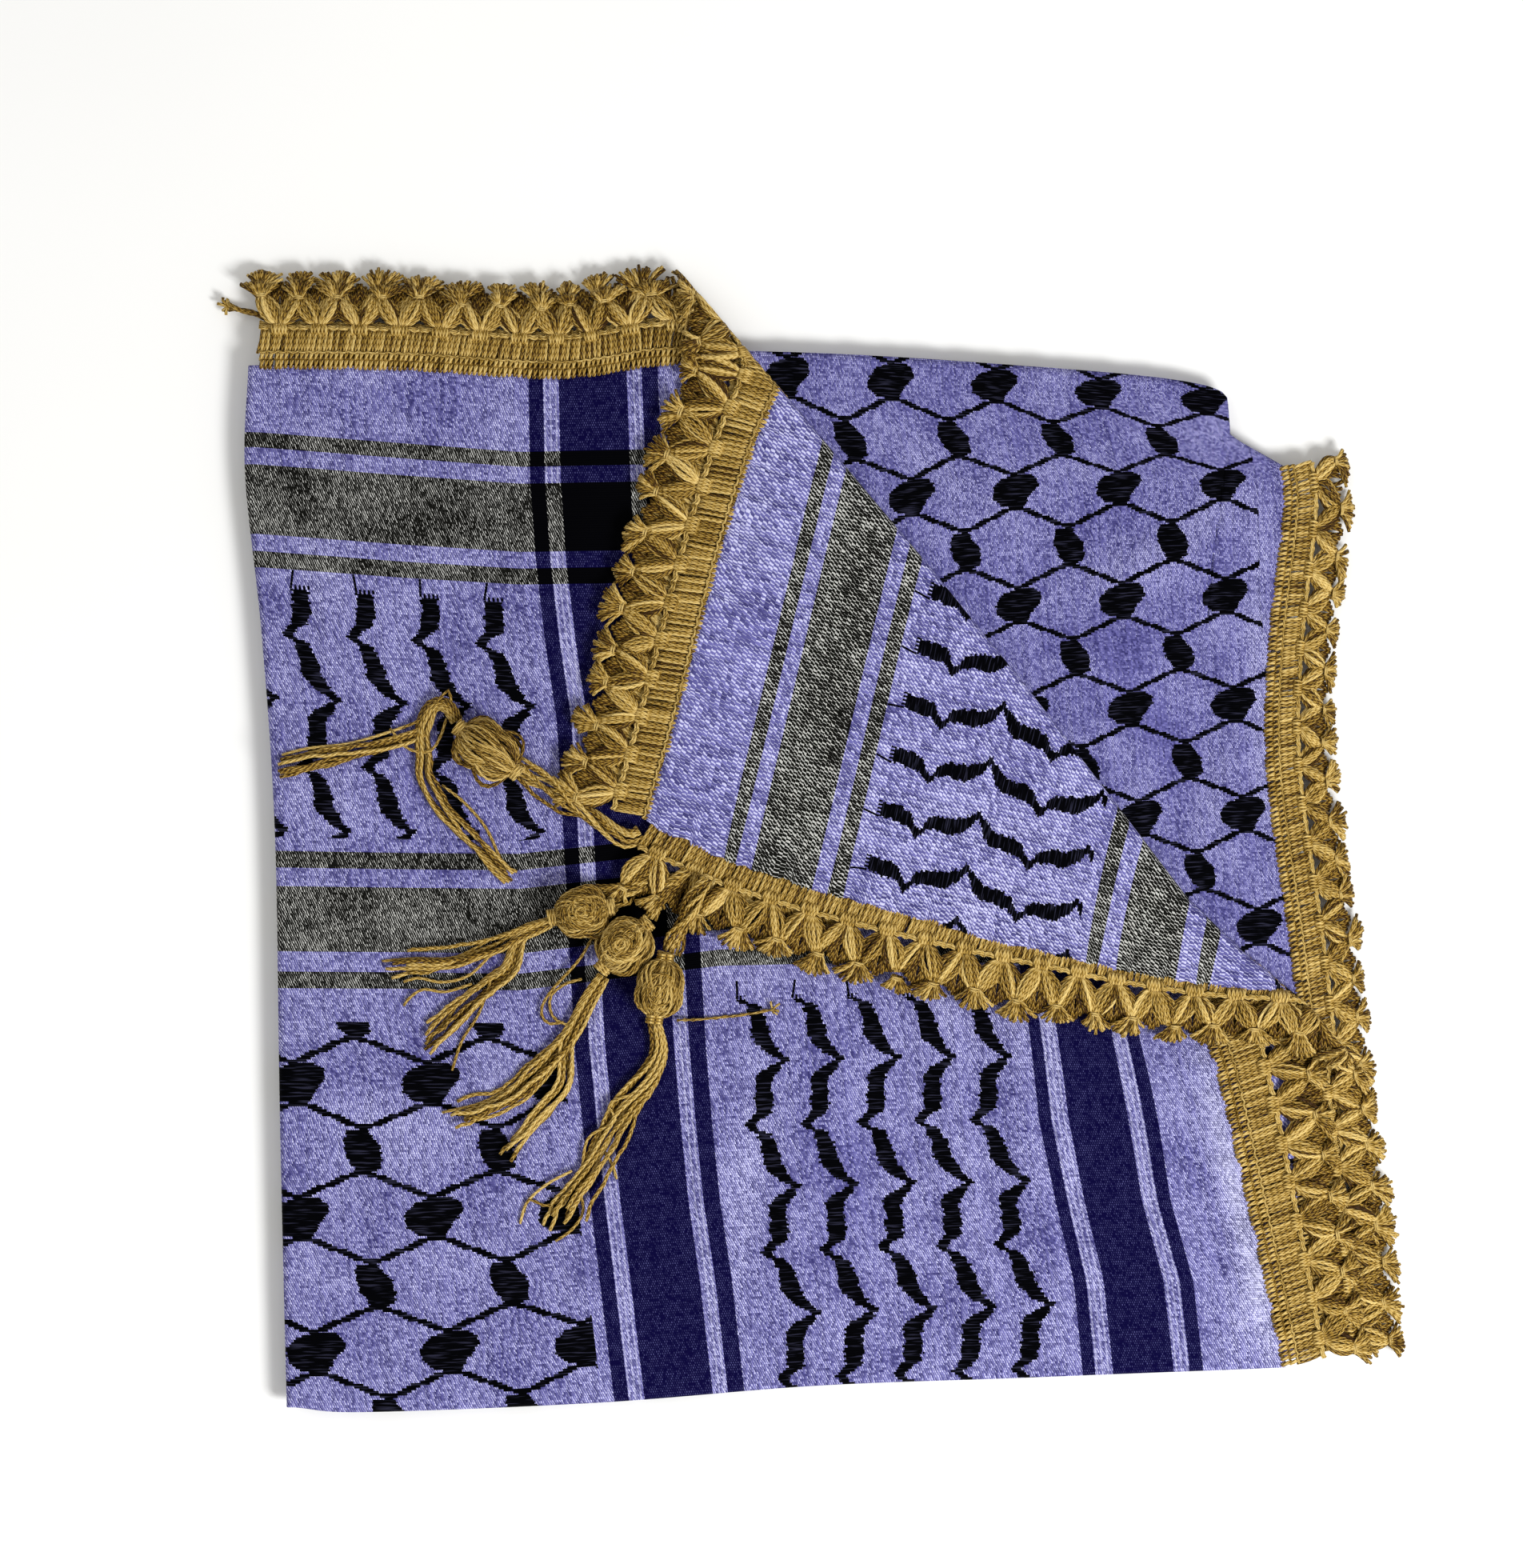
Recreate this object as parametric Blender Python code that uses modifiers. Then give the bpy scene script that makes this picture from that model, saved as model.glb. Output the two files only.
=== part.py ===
"""A keffiyeh headscarf, folded in eight and lying flat, with one corner of its two top layers turned back.

The cloth is one woven rectangle, folded once across its width (fold at -X) and then pleated in four along its
length (folds at -Y and +Y). Crochet lace edges the scarf, and four gold tassels hang from the turned corner.
Tables are in millimetres; +X is right, +Y away, +Z up, and the scarf rests on z = 0.
"""

from math import cos, pi, sin

import bmesh
import bpy
import numpy as np
from mathutils import Vector

MM = 0.001
SCARF = "keffiyeh_scarf"

# Heights of each layer's middle surface above the table.
CLOTH = 1.0  # wall of one layer
GAP = 0.4  # air between two pieces at a seam
LAYER_GAP = 0.5  # air between two layers
CORE_TOP = 5.2  # five hidden layers, pressed together
NET_HEIGHT = CORE_TOP + LAYER_GAP + CLOTH / 2
BACK_HEIGHT = NET_HEIGHT + CLOTH + LAYER_GAP
FRONT_HEIGHT = BACK_HEIGHT + CLOTH + LAYER_GAP
TURN_CENTRE = FRONT_HEIGHT + 0.9  # height of the axis that both layers turn about
FRONT_FACE = FRONT_HEIGHT + CLOTH / 2  # what the tassels lie on

ROLL_RADIUS = 2.0  # how round the folds at the left and at the foot are
ROLL_DROP = 1.8  # how far the fold's outer layer hangs down past its round
INSET = 3.6  # the second and third layers stop this far inside the folds

PANEL_STEPS = 18  # cells along each side of a panel, and along the lace on it
ROLL_STEPS = 3  # cells across a fold's round and the stretch that hangs past it

# Each outline is a smooth curve through its points: columns x, y.
LEFT_FOLD = [(-170.0, 142.5), (-171.0, 110.0), (-166.0, 62.0), (-162.0, 2.0), (-160.5, -84.0), (-158.5, -170.0)]
FOOT_FOLD = [(-158.5, -170.0), (-135.0, -171.4), (-64.0, -168.5), (0.0, -163.5), (65.0, -161.0), (141.0, -158.0)]
TOP_EDGE = [(-170.0, 142.5), (-124.0, 142.0), (-76.5, 139.5), (-42.0, 143.5), (-15.5, 137.0)]
FRONT_RIGHT = [
    (141.0, -158.0), (135.5, -132.0), (127.0, -94.0), (119.0, -57.5), (114.5, -19.5), (113.0, 40.0), (115.0, 100.0)
]
BACK_RIGHT = [(149.0, -156.0), (146.5, -120.0), (143.5, -84.0), (144.0, -60.0), (145.5, -51.0)]
NET_TOP = [
    (-166.0, 143.0), (-76.5, 146.0), (-19.0, 147.0), (50.0, 143.5), (118.0, 136.5), (123.0, 123.5), (140.5, 112.5),
]
NET_RIGHT = [
    (140.5, 112.5), (141.5, 98.5), (137.0, 58.0), (136.5, 20.0), (144.0, -36.0), (148.5, -84.0), (150.0, -156.0),
]

# The turned corner as it lies: columns x, y, from the turning line to the cloth's own corner.
TURN_START = (-15.5, 137.0)
TURN_END = (145.5, -51.0)
FLAP_SIDE = [(-15.5, 137.0), (-19.0, 118.0), (-29.5, 85.0), (-42.5, 36.0), (-51.5, 5.0)]
FLAP_FOOT = [(145.5, -51.0), (103.5, -41.5), (55.5, -31.0), (7.5, -17.5), (-25.0, -7.0), (-51.5, 5.0)]
TURN_BOW = [(0.0, 0.0), (0.3, 0.7), (0.5, 2.2), (0.7, 5.0), (0.81, 6.6), (0.9, 4.4), (1.0, 0.0)]  # share, bow
BOW_REACH = 42.0  # the bow of the turning line dies away over this distance
FRONT_CORNER_SHORT = 2.5  # the under layer of the turned corner is this much smaller

# Lace: columns share of the strip's length, width.
FRONT_TOP_LACE = [(0.0, 25.0), (0.3, 24.5), (0.42, 25.0), (0.55, 25.0), (1.0, 24.0)]
BACK_TOP_LACE = [(0.0, 28.0), (0.2, 26.8), (0.45, 28.6), (0.52, 30.4), (0.6, 29.0), (1.0, 27.0)]
FRONT_RIGHT_LACE = [(0.0, 25.5), (0.25, 30.5), (1.0, 27.0)]
BACK_RIGHT_LACE = [(0.0, 28.3), (0.2, 26.5), (0.38, 17.0), (0.6, 21.0), (1.0, 23.0)]
NET_RIGHT_LACE = [(0.0, 20.0), (0.5, 20.0), (1.0, 19.0)]
LACE_WALL = 1.0
LACE_FIRST = 3.0  # a strip starts this far along its edge
SIDE_LACE_SHORT = 4.0  # and stops this far before the cloth's corner, at the flap's side
FOOT_LACE_SHORT = 16.0  # or at its foot

# Past the stack's cloth, at the top and at the right, everything sinks towards the table.
SINK = 4.6
SINK_REACH = 26.0
SINK_TOP = [(-180.0, 145.0), (-76.0, 147.5), (-19.0, 148.5), (50.0, 147.0), (140.0, 143.0)]  # x, y of its start
SINK_RIGHT = [(-170.0, 152.0), (-84.0, 150.5), (-36.0, 146.0), (20.0, 138.5), (98.0, 143.5), (150.0, 143.5)]  # y, x

# Soft ridges in the stack's top: columns x, y, heading in degrees, half length, half width, height.
RIDGES = [
    (-146.0, 20.0, 92.0, 120.0, 18.0, 0.9),
    (-60.0, -146.0, 2.0, 70.0, 18.0, 0.8),
    (60.0, -105.0, 78.0, 45.0, 18.0, 0.9),
    (116.0, -112.0, 100.0, 46.0, 17.0, 1.0),
    (96.0, 70.0, 60.0, 40.0, 18.0, 1.1),
    (20.0, 40.0, 72.0, 48.0, 20.0, 1.0),
]

# Hidden layers, from the table up: columns bottom, top, and the inset at the left, foot, right and top.
CORE_LAYERS = [
    (0.0, 1.3, 1.2, 0.6, 3.0, 2.4),
    (1.3, 2.5, 0.5, 1.4, 4.6, 1.0),
    (2.5, 3.8, 1.6, 0.5, 2.2, 2.8),
    (3.8, CORE_TOP, 3.4, 3.4, 4.0, 1.4),
]
CORE_EDGE_ROUND = 0.9  # how far each layer's top and bottom pull in from its middle
CORE_POINTS = 14  # points along each side of the hidden layers

# Tassel balls: columns name, x, y, half length, half width, half height, heading.
BALLS = [
    ("tassel_1_ball", -98.0, 27.0, 10.2, 7.9, 7.4, -38.0),
    ("tassel_2_ball", -70.0, -21.5, 8.3, 7.8, 7.4, 10.0),
    ("tassel_3_ball", -57.0, -31.5, 8.8, 8.0, 7.6, 45.0),
    ("tassel_4_ball", -46.5, -44.0, 9.0, 7.2, 7.0, 80.0),
]

# Cords and tails of the tassels: name, radius, flatness, and the route's points x, y, lift above the front panel.
CORDS = [
    ("tassel_1_braid", 2.8, 0.8, [(-57.0, 1.0, 0.4), (-67.0, 7.2, 0.6), (-76.5, 13.2, 1.2), (-86.5, 20.0, 1.6)]),
    ("tassel_2_braid", 2.8, 0.8, [(-53.0, -13.0, 0.6), (-58.0, -16.4, 0.8), (-61.5, -18.4, 1.6)]),
    ("tassel_3_braid", 2.4, 0.8, [(-46.2, -16.6, 2.6), (-48.2, -20.0, 2.2), (-49.8, -23.2, 2.0)]),
    ("tassel_4_braid", 2.8, 0.8, [(-33.0, -11.0, 5.0), (-37.0, -19.0, 5.0), (-40.0, -25.5, 3.0), (-43.4, -33.6, 2.0)]),
    (
        "tassel_1_tail_a",
        3.0,
        0.55,
        [(-107.4, 35.6, 2.6), (-110.5, 40.4, 2.0), (-115.0, 40.0, 0.6), (-118.0, 33.0, 0.0), (-124.0, 30.2, 0.0),
         (-136.5, 27.2, 0.0), (-150.0, 24.6, 0.0), (-161.5, 22.0, 0.0)],
    ),
    (
        "tassel_1_tail_b",
        3.2,
        0.55,
        [(-117.6, 25.2, 0.0), (-117.2, 18.0, 0.0), (-110.5, 7.5, 0.0), (-100.5, -2.5, 0.0), (-90.5, -12.6, 0.0)],
    ),
    (
        "tassel_2_tail_a",
        3.6,
        0.5,
        [(-79.4, -24.4, 1.6), (-88.5, -28.4, 0.0), (-97.0, -32.6, 0.0), (-112.0, -36.5, 0.0), (-131.0, -38.4, 0.0)],
    ),
    (
        "tassel_2_tail_b",
        3.2,
        0.5,
        [(-92.0, -38.2, 0.0), (-98.0, -43.0, 0.0), (-104.0, -48.0, 0.0), (-111.5, -55.5, 0.0), (-119.0, -62.0, 0.0)],
    ),
    (
        "tassel_3_tail_a",
        4.2,
        0.5,
        [(-63.4, -40.6, 1.6), (-68.0, -48.0, 0.0), (-74.5, -60.0, 0.0), (-84.0, -70.0, 0.0), (-93.0, -77.5, 0.0),
         (-109.5, -83.6, 0.0)],
    ),
    (
        "tassel_3_tail_b",
        3.0,
        0.5,
        [(-75.6, -72.6, 0.0), (-81.5, -79.5, 0.0), (-88.5, -87.0, 0.0), (-95.0, -94.0, 0.0)],
    ),
    (
        "tassel_4_tail",
        3.8,
        0.5,
        [(-48.4, -54.2, 1.2), (-46.6, -62.5, 0.0), (-49.5, -70.5, 0.0), (-57.5, -80.5, 0.0), (-64.0, -92.0, 0.0),
         (-70.0, -102.0, 0.0), (-76.0, -111.0, 0.0), (-78.6, -117.6, 0.0)],
    ),
    ("tassel_4_thread", 0.6, 1.0, [(-41.6, -53.8, 1.2), (-34.0, -53.6, 0.3), (-22.0, -52.4, 0.0), (-13.0, -50.8, 0.0)]),
]
TUFT_ROUTE = [(-171.6, 159.2, 3.4), (-174.6, 160.0, 3.0), (-177.0, 160.9, 2.6)]  # x, y, z of its middle
TUFT_RADIUS = 1.4
CORD_STEP = 4.0  # distance between a route's points
CURVE_STEPS = 12  # points of a smooth curve for each of its table's gaps
TURN_CUTS = 4  # parts that a layer's half turn is cut into
CORNER_BLEND = 12  # an inset dies away over one part in this many of the side that it meets

# Materials: red, green, blue, roughness.
MATERIALS = {
    "cloth": (0.27, 0.24, 0.52, 0.85),
    "lace": (0.38, 0.24, 0.05, 0.8),
    "tassel": (0.38, 0.24, 0.05, 0.75),
}


def clear_scene():
    for obj in list(bpy.data.objects):
        bpy.data.objects.remove(obj, do_unlink=True)


def scarf_collection():
    collection = bpy.data.collections.new(SCARF)
    bpy.context.scene.collection.children.link(collection)
    return collection


def finish_material(name):
    red, green, blue, roughness = MATERIALS[name]
    material = bpy.data.materials.get(name) or bpy.data.materials.new(name)
    material.use_nodes = True
    shader = material.node_tree.nodes["Principled BSDF"]
    shader.inputs["Base Color"].default_value = (red, green, blue, 1.0)
    shader.inputs["Roughness"].default_value = roughness
    shader.inputs["Metallic"].default_value = 0.0
    return material


def smooth_curve(points):
    """A function of 0..1 that runs evenly along a Catmull-Rom curve through the points."""
    knots = np.array(points, float)
    padded = np.vstack([2 * knots[0] - knots[1], knots, 2 * knots[-1] - knots[-2]])
    fine = []
    for i in range(1, len(padded) - 2):
        p0, p1, p2, p3 = padded[i - 1 : i + 3]
        for t in np.linspace(0.0, 1.0, CURVE_STEPS, endpoint=False):
            fine.append(
                0.5 * (2 * p1 + (p2 - p0) * t + (2 * p0 - 5 * p1 + 4 * p2 - p3) * t**2
                       + (3 * p1 - p0 - 3 * p2 + p3) * t**3)
            )
    fine = np.vstack([fine, knots[-1]])
    lengths = np.concatenate([[0.0], np.cumsum(np.linalg.norm(np.diff(fine, axis=0), axis=1))])

    def at(share):
        distance = share * lengths[-1]
        return np.array([np.interp(distance, lengths, fine[:, axis]) for axis in range(fine.shape[1])])

    at.length = lengths[-1]
    return at


def along_turn(x, y):
    """Where a point lies: share along the turning line, and distance past it (positive off the flap's side)."""
    start, end = np.array(TURN_START), np.array(TURN_END)
    line = end - start
    length = np.linalg.norm(line)
    line /= length
    offset = np.array((x, y)) - start
    past = np.array((-line[1], line[0]))
    return offset @ line / length, offset @ past


def turn_past():
    line = np.array(TURN_END) - np.array(TURN_START)
    line /= np.linalg.norm(line)
    return np.array((-line[1], line[0]))


def bow(x, y):
    """How far the turning line's bow carries a point, as a vector."""
    share, distance = along_turn(x, y)
    shares, bows = zip(*TURN_BOW)
    return -turn_past() * np.interp(share, shares, bows) * np.exp(-((distance / BOW_REACH) ** 2))


def unfolded(points, height):
    """The places in the flat sheet, at its layer's height, of points on the turned corner."""
    around = pi * (TURN_CENTRE - height)
    flat = []
    for x, y in points:
        x, y = np.array((x, y)) - bow(x, y)
        flat.append(tuple(np.array((x, y)) + turn_past() * (around - 2 * along_turn(x, y)[1])))
    return flat


def lie(x, y):
    """How far the stack's soft ridges lift a point of its top, less how far it sinks past the cloth's edge."""
    past_top = y - np.interp(x, *zip(*SINK_TOP))
    past_right = x - np.interp(y, *zip(*SINK_RIGHT))
    share = np.clip(max(past_top, past_right) / SINK_REACH, 0.0, 1.0)
    total = -SINK * share * share * (3 - 2 * share)
    for ridge_x, ridge_y, heading, length, width, height in RIDGES:
        angle = heading * pi / 180
        along = (x - ridge_x) * cos(angle) + (y - ridge_y) * sin(angle)
        across = -(x - ridge_x) * sin(angle) + (y - ridge_y) * cos(angle)
        total += height * np.exp(-((along / length) ** 2) - (across / width) ** 2)
    return total


def folded(x, y, height):
    """Carries a point of the flat sheet, at its layer's height, round the turning line to where it lies."""
    radius = TURN_CENTRE - height
    distance = along_turn(x, y)[1]
    past = turn_past()
    plan = np.array((x, y))
    if distance > 0.0:
        plan = plan - past * distance
        if distance < pi * radius:
            plan = plan + past * radius * sin(distance / radius)
            height = TURN_CENTRE - radius * cos(distance / radius)
        else:
            plan = plan - past * (distance - pi * radius)
            height = TURN_CENTRE + radius
    plan = plan + bow(*plan)
    return plan[0], plan[1], height + lie(*plan)


def chain(*tables):
    """One smooth curve through several tables' points, each shared end used once."""
    points = list(tables[0])
    for table in tables[1:]:
        points += list(table)[1:]
    return smooth_curve(points)


def shortened(table, amount):
    """The corner's outline pulled back from its tip, which is the table's last point."""
    tip = np.array(table[-1])
    centre = np.array(TURN_START) * 0.5 + np.array(TURN_END) * 0.5
    pull = (centre - tip) / np.linalg.norm(centre - tip)
    share = np.linspace(0.0, 1.0, len(table))
    return [tuple(np.array(point) + pull * amount * s) for point, s in zip(table, share)]


def patch(top, right, foot, left):
    """A function of (u, v), both 0..1 from the top left corner, that fills the four curves."""

    def at(u, v):
        corners = (
            (1 - u) * (1 - v) * top(0.0) + u * (1 - v) * top(1.0) + (1 - u) * v * foot(0.0) + u * v * foot(1.0)
        )
        return (1 - v) * top(u) + v * foot(u) + (1 - u) * left(v) + u * right(v) - corners

    return at


def add_object(collection, name, mesh, material):
    mesh.materials.append(finish_material(material))
    obj = bpy.data.objects.new(name, mesh)
    collection.objects.link(obj)
    return obj


def sheet_object(collection, name, columns, rows, plan_at, place, thickness, material, turns=None):
    """A wall of cloth: a grid over (u, v), cut where it turns, placed point by point and thickened. turns is the
    radius of its turn, or None for a layer that lies flat."""
    grid = bmesh.new()
    bmesh.ops.create_grid(grid, x_segments=columns, y_segments=rows, size=0.5)
    marks = {vert: (vert.co.x + 0.5, 0.5 - vert.co.y) for vert in grid.verts}
    for vert, (u, v) in marks.items():
        x, y, drop = plan_at(u, v)
        vert.co = (x, y, drop)
    if turns is not None:
        start = Vector((*TURN_START, 0.0))
        past = Vector((*turn_past(), 0.0))
        for step in range(TURN_CUTS + 1):
            everything = grid.verts[:] + grid.edges[:] + grid.faces[:]
            at = start + past * (pi * turns * step / TURN_CUTS)
            bmesh.ops.bisect_plane(grid, geom=everything, dist=1e-3, plane_co=at, plane_no=past)
    for vert in grid.verts:
        vert.co = Vector(place(*vert.co)) * MM
    bmesh.ops.triangulate(grid, faces=grid.faces[:])
    mesh = bpy.data.meshes.new(name)
    grid.to_mesh(mesh)
    grid.free()
    obj = add_object(collection, name, mesh, material)
    wall = obj.modifiers.new("wall", "SOLIDIFY")
    wall.thickness = thickness * MM
    wall.offset = 0.0
    wall.use_even_offset = True
    wall.use_quality_normals = True
    return obj


def pulled_in(share, amount):
    """How far a panel's first row of points moves in from its outline."""
    return amount * max(0.0, 1.0 - share * PANEL_STEPS)


def rolled(step):
    """How far out and how far down a fold goes at one of its steps, counted from its hanging edge."""
    if step == 0:
        return ROLL_RADIUS, ROLL_RADIUS + ROLL_DROP
    if step >= ROLL_STEPS:
        return 0.0, 0.0
    angle = pi / 2 * (ROLL_STEPS - step) / (ROLL_STEPS - 1)
    return ROLL_RADIUS * sin(angle), ROLL_RADIUS * (1 - cos(angle))


def build_front_panel(collection):
    """The top layer: it goes round the folds at the left and foot, and its far corner is turned back."""
    steps = PANEL_STEPS + ROLL_STEPS
    side = unfolded(shortened(FLAP_SIDE, FRONT_CORNER_SHORT), FRONT_HEIGHT)
    at = patch(
        chain(TOP_EDGE, side),
        smooth_curve((FRONT_RIGHT + [side[-1]])[::-1]),
        smooth_curve(FOOT_FOLD),
        smooth_curve(LEFT_FOLD),
    )

    def plan_at(u, v):
        column, row = round(u * steps), round((1 - v) * steps)
        left_out, left_down = rolled(column)
        foot_out, foot_down = rolled(row)
        u = max(column - ROLL_STEPS, 0) / PANEL_STEPS
        v = 1 - max(row - ROLL_STEPS, 0) / PANEL_STEPS
        x, y = at(u, v)
        x += pulled_in(u, ROLL_RADIUS) - left_out
        y += pulled_in(1 - v, ROLL_RADIUS) - foot_out
        return x, y, -max(left_down, foot_down)

    def place(x, y, drop):
        x, y, z = folded(x, y, FRONT_HEIGHT)
        return x, y, z + drop

    turns = TURN_CENTRE - FRONT_HEIGHT
    return sheet_object(collection, "front_panel", steps, steps, plan_at, place, CLOTH, "cloth", turns)


def build_back_panel(collection):
    """The second layer, under the first all over; turned back with it, its underside faces up."""
    side = unfolded(FLAP_SIDE, BACK_HEIGHT)
    foot = unfolded(FLAP_FOOT, BACK_HEIGHT)
    at = patch(
        chain(TOP_EDGE, side),
        smooth_curve((BACK_RIGHT + foot[1:])[::-1]),
        smooth_curve(FOOT_FOLD[:-1] + [BACK_RIGHT[0]]),
        smooth_curve(LEFT_FOLD),
    )

    def plan_at(u, v):
        x, y = at(u, v)
        return x + pulled_in(u, INSET), y + pulled_in(1 - v, INSET), 0.0

    def place(x, y, _):
        return folded(x, y, BACK_HEIGHT)

    turns = TURN_CENTRE - BACK_HEIGHT
    return sheet_object(
        collection, "back_panel", PANEL_STEPS, PANEL_STEPS, plan_at, place, CLOTH, "cloth", turns
    )


def build_net_panel(collection):
    """The third layer, which shows where the corner is turned back."""
    at = patch(
        smooth_curve(NET_TOP),
        smooth_curve(NET_RIGHT),
        smooth_curve(FOOT_FOLD[:-1] + [NET_RIGHT[-1]]),
        smooth_curve([NET_TOP[0]] + LEFT_FOLD[1:]),
    )

    def plan_at(u, v):
        x, y = at(u, v)
        return x + pulled_in(u, INSET), y + pulled_in(1 - v, INSET), 0.0

    def place(x, y, _):
        return x, y, NET_HEIGHT + lie(x, y)

    return sheet_object(collection, "net_panel", PANEL_STEPS, PANEL_STEPS, plan_at, place, CLOTH, "cloth")


def build_lace(collection, name, edge, outside, last, widths, height, turns=None):
    """A strip of lace outside an edge of its layer, as far as the share last of the edge. It lies to the edge's
    left where outside is 1, or to its right where it is -1."""
    width_shares, width_values = zip(*widths)

    def plan_at(u, v):
        share = min(max(u, LACE_FIRST / edge.length), last)
        here = edge(share)
        ahead = edge(min(share + 0.01, 1.0)) - edge(max(share - 0.01, 0.0))
        ahead /= np.linalg.norm(ahead)
        outward = outside * np.array((-ahead[1], ahead[0]))
        out = GAP + (1 - v) * np.interp(u, width_shares, width_values)
        x, y = here + outward * out
        return x, y, 0.0

    def place(x, y, _):
        return folded(x, y, height) if turns is not None else (x, y, height + lie(x, y))

    return sheet_object(collection, name, PANEL_STEPS, 3, plan_at, place, LACE_WALL, "lace", turns)


def build_laces(collection):
    front_side = unfolded(shortened(FLAP_SIDE, FRONT_CORNER_SHORT), FRONT_HEIGHT)
    back_side = unfolded(FLAP_SIDE, BACK_HEIGHT)
    back_foot = unfolded(FLAP_FOOT, BACK_HEIGHT)
    front_right = smooth_curve(FRONT_RIGHT + [front_side[-1]])
    back_right = smooth_curve(BACK_RIGHT + back_foot[1:])
    strips = [
        ("front_lace_top", chain(TOP_EDGE, front_side), 1, SIDE_LACE_SHORT, FRONT_TOP_LACE, FRONT_HEIGHT),
        ("front_lace_right", front_right, -1, FOOT_LACE_SHORT, FRONT_RIGHT_LACE, FRONT_HEIGHT),
        ("back_lace_top", chain(TOP_EDGE, back_side), 1, SIDE_LACE_SHORT, BACK_TOP_LACE, BACK_HEIGHT),
        ("back_lace_right", back_right, -1, FOOT_LACE_SHORT, BACK_RIGHT_LACE, BACK_HEIGHT),
    ]
    for name, edge, outside, end_gap, widths, height in strips:
        last = 1.0 - end_gap / edge.length
        build_lace(collection, name, edge, outside, last, widths, height, TURN_CENTRE - height)
    net_edge = smooth_curve(NET_RIGHT[::-1])
    build_lace(collection, "net_lace_right", net_edge, -1, 1.0, NET_RIGHT_LACE, NET_HEIGHT)


def build_inner_folds(collection):
    """The hidden layers as one solid, with each layer's rounded edge standing a little in or out."""
    sides = [
        (smooth_curve(LEFT_FOLD), (1.0, 0.0), 0),
        (smooth_curve(FOOT_FOLD[:-1] + [NET_RIGHT[-1]]), (0.0, 1.0), 1),
        (smooth_curve(NET_RIGHT[::-1]), (-1.0, 0.0), 2),
        (smooth_curve(NET_TOP[::-1]), (0.0, -1.0), 3),
    ]
    body = bmesh.new()
    rings = []
    for bottom, top, *insets in CORE_LAYERS:
        for height, pulled in ((bottom, 1.0), ((bottom + top) / 2, 0.0), (top, 1.0)):
            if rings and pulled and height == bottom:
                continue
            ring = []
            for number, (edge, inward, column) in enumerate(sides):
                after = sides[(number + 1) % 4]
                for step in range(CORE_POINTS):
                    share = (step + 0.5) / CORE_POINTS
                    x, y = edge(share)
                    inset = insets[column] + CORE_EDGE_ROUND * pulled
                    before_pull = max(0.0, 1 - share * CORNER_BLEND) * insets[sides[number - 1][2]]
                    after_pull = max(0.0, 1 - (1 - share) * CORNER_BLEND) * insets[after[2]]
                    x += inward[0] * inset + sides[number - 1][1][0] * before_pull + after[1][0] * after_pull
                    y += inward[1] * inset + sides[number - 1][1][1] * before_pull + after[1][1] * after_pull
                    ring.append(body.verts.new((x * MM, y * MM, height * MM)))
            rings.append(ring)
    for lower, upper in zip(rings, rings[1:]):
        for i in range(len(lower)):
            j = (i + 1) % len(lower)
            body.faces.new((lower[i], lower[j], upper[j], upper[i]))
    body.faces.new(rings[0][::-1])
    body.faces.new(rings[-1])
    bmesh.ops.triangulate(body, faces=body.faces[:])
    bmesh.ops.recalc_face_normals(body, faces=body.faces[:])
    mesh = bpy.data.meshes.new("inner_folds")
    body.to_mesh(mesh)
    body.free()
    return add_object(collection, "inner_folds", mesh, "cloth")


def build_ball(collection, name, x, y, length, width, height, heading):
    bpy.ops.mesh.primitive_uv_sphere_add(segments=14, ring_count=9, radius=1.0)
    ball = bpy.context.object
    ball.name = name
    for parent in list(ball.users_collection):
        parent.objects.unlink(ball)
    collection.objects.link(ball)
    ball.scale = (length * MM, width * MM, height * MM)
    ball.rotation_euler = (0.0, 0.0, heading * pi / 180)
    ball.location = Vector((x, y, FRONT_FACE + lie(x, y) + GAP + height)) * MM
    ball.data.materials.append(finish_material("tassel"))
    ball.data.shade_smooth()


def build_cord(collection, name, radius, flatness, points):
    """A tube through points (x, y, z of its middle), flatter than it is wide."""
    route = smooth_curve(points)
    count = max(3, round(route.length / CORD_STEP) + 1)
    curve = bpy.data.curves.new(name, "CURVE")
    curve.dimensions = "3D"
    curve.bevel_depth = radius * MM
    curve.bevel_resolution = 1 if radius < 1.0 else 2
    curve.use_fill_caps = True
    spline = curve.splines.new("POLY")
    spline.points.add(count - 1)
    for point, share in zip(spline.points, np.linspace(0.0, 1.0, count)):
        x, y, z = route(share)
        point.co = (x * MM, y * MM, z / flatness * MM, 1.0)
    obj = bpy.data.objects.new(name, curve)
    obj.scale = (1.0, 1.0, flatness)
    curve.materials.append(finish_material("tassel"))
    collection.objects.link(obj)


def build_tassels(collection):
    for ball in BALLS:
        build_ball(collection, *ball)
    for name, radius, flatness, points in CORDS:
        rest = FRONT_FACE + GAP + radius * flatness
        build_cord(
            collection, name, radius, flatness, [(x, y, rest + lie(x, y) + lift) for x, y, lift in points]
        )
    build_cord(collection, "lace_end_tuft", TUFT_RADIUS, 1.0, TUFT_ROUTE)


def main():
    clear_scene()
    collection = scarf_collection()
    build_inner_folds(collection)
    build_net_panel(collection)
    build_back_panel(collection)
    build_front_panel(collection)
    build_laces(collection)
    build_tassels(collection)


main()
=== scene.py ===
"""The looks of a folded keffiyeh headscarf: woven cloth, crochet lace edging and yarn tassels.

The CAD model is the fixed frame. Every table here is in millimetres in its axes: +X right, +Y away, +Z up.
"""

from math import cos, pi, radians, sin, tau

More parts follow.
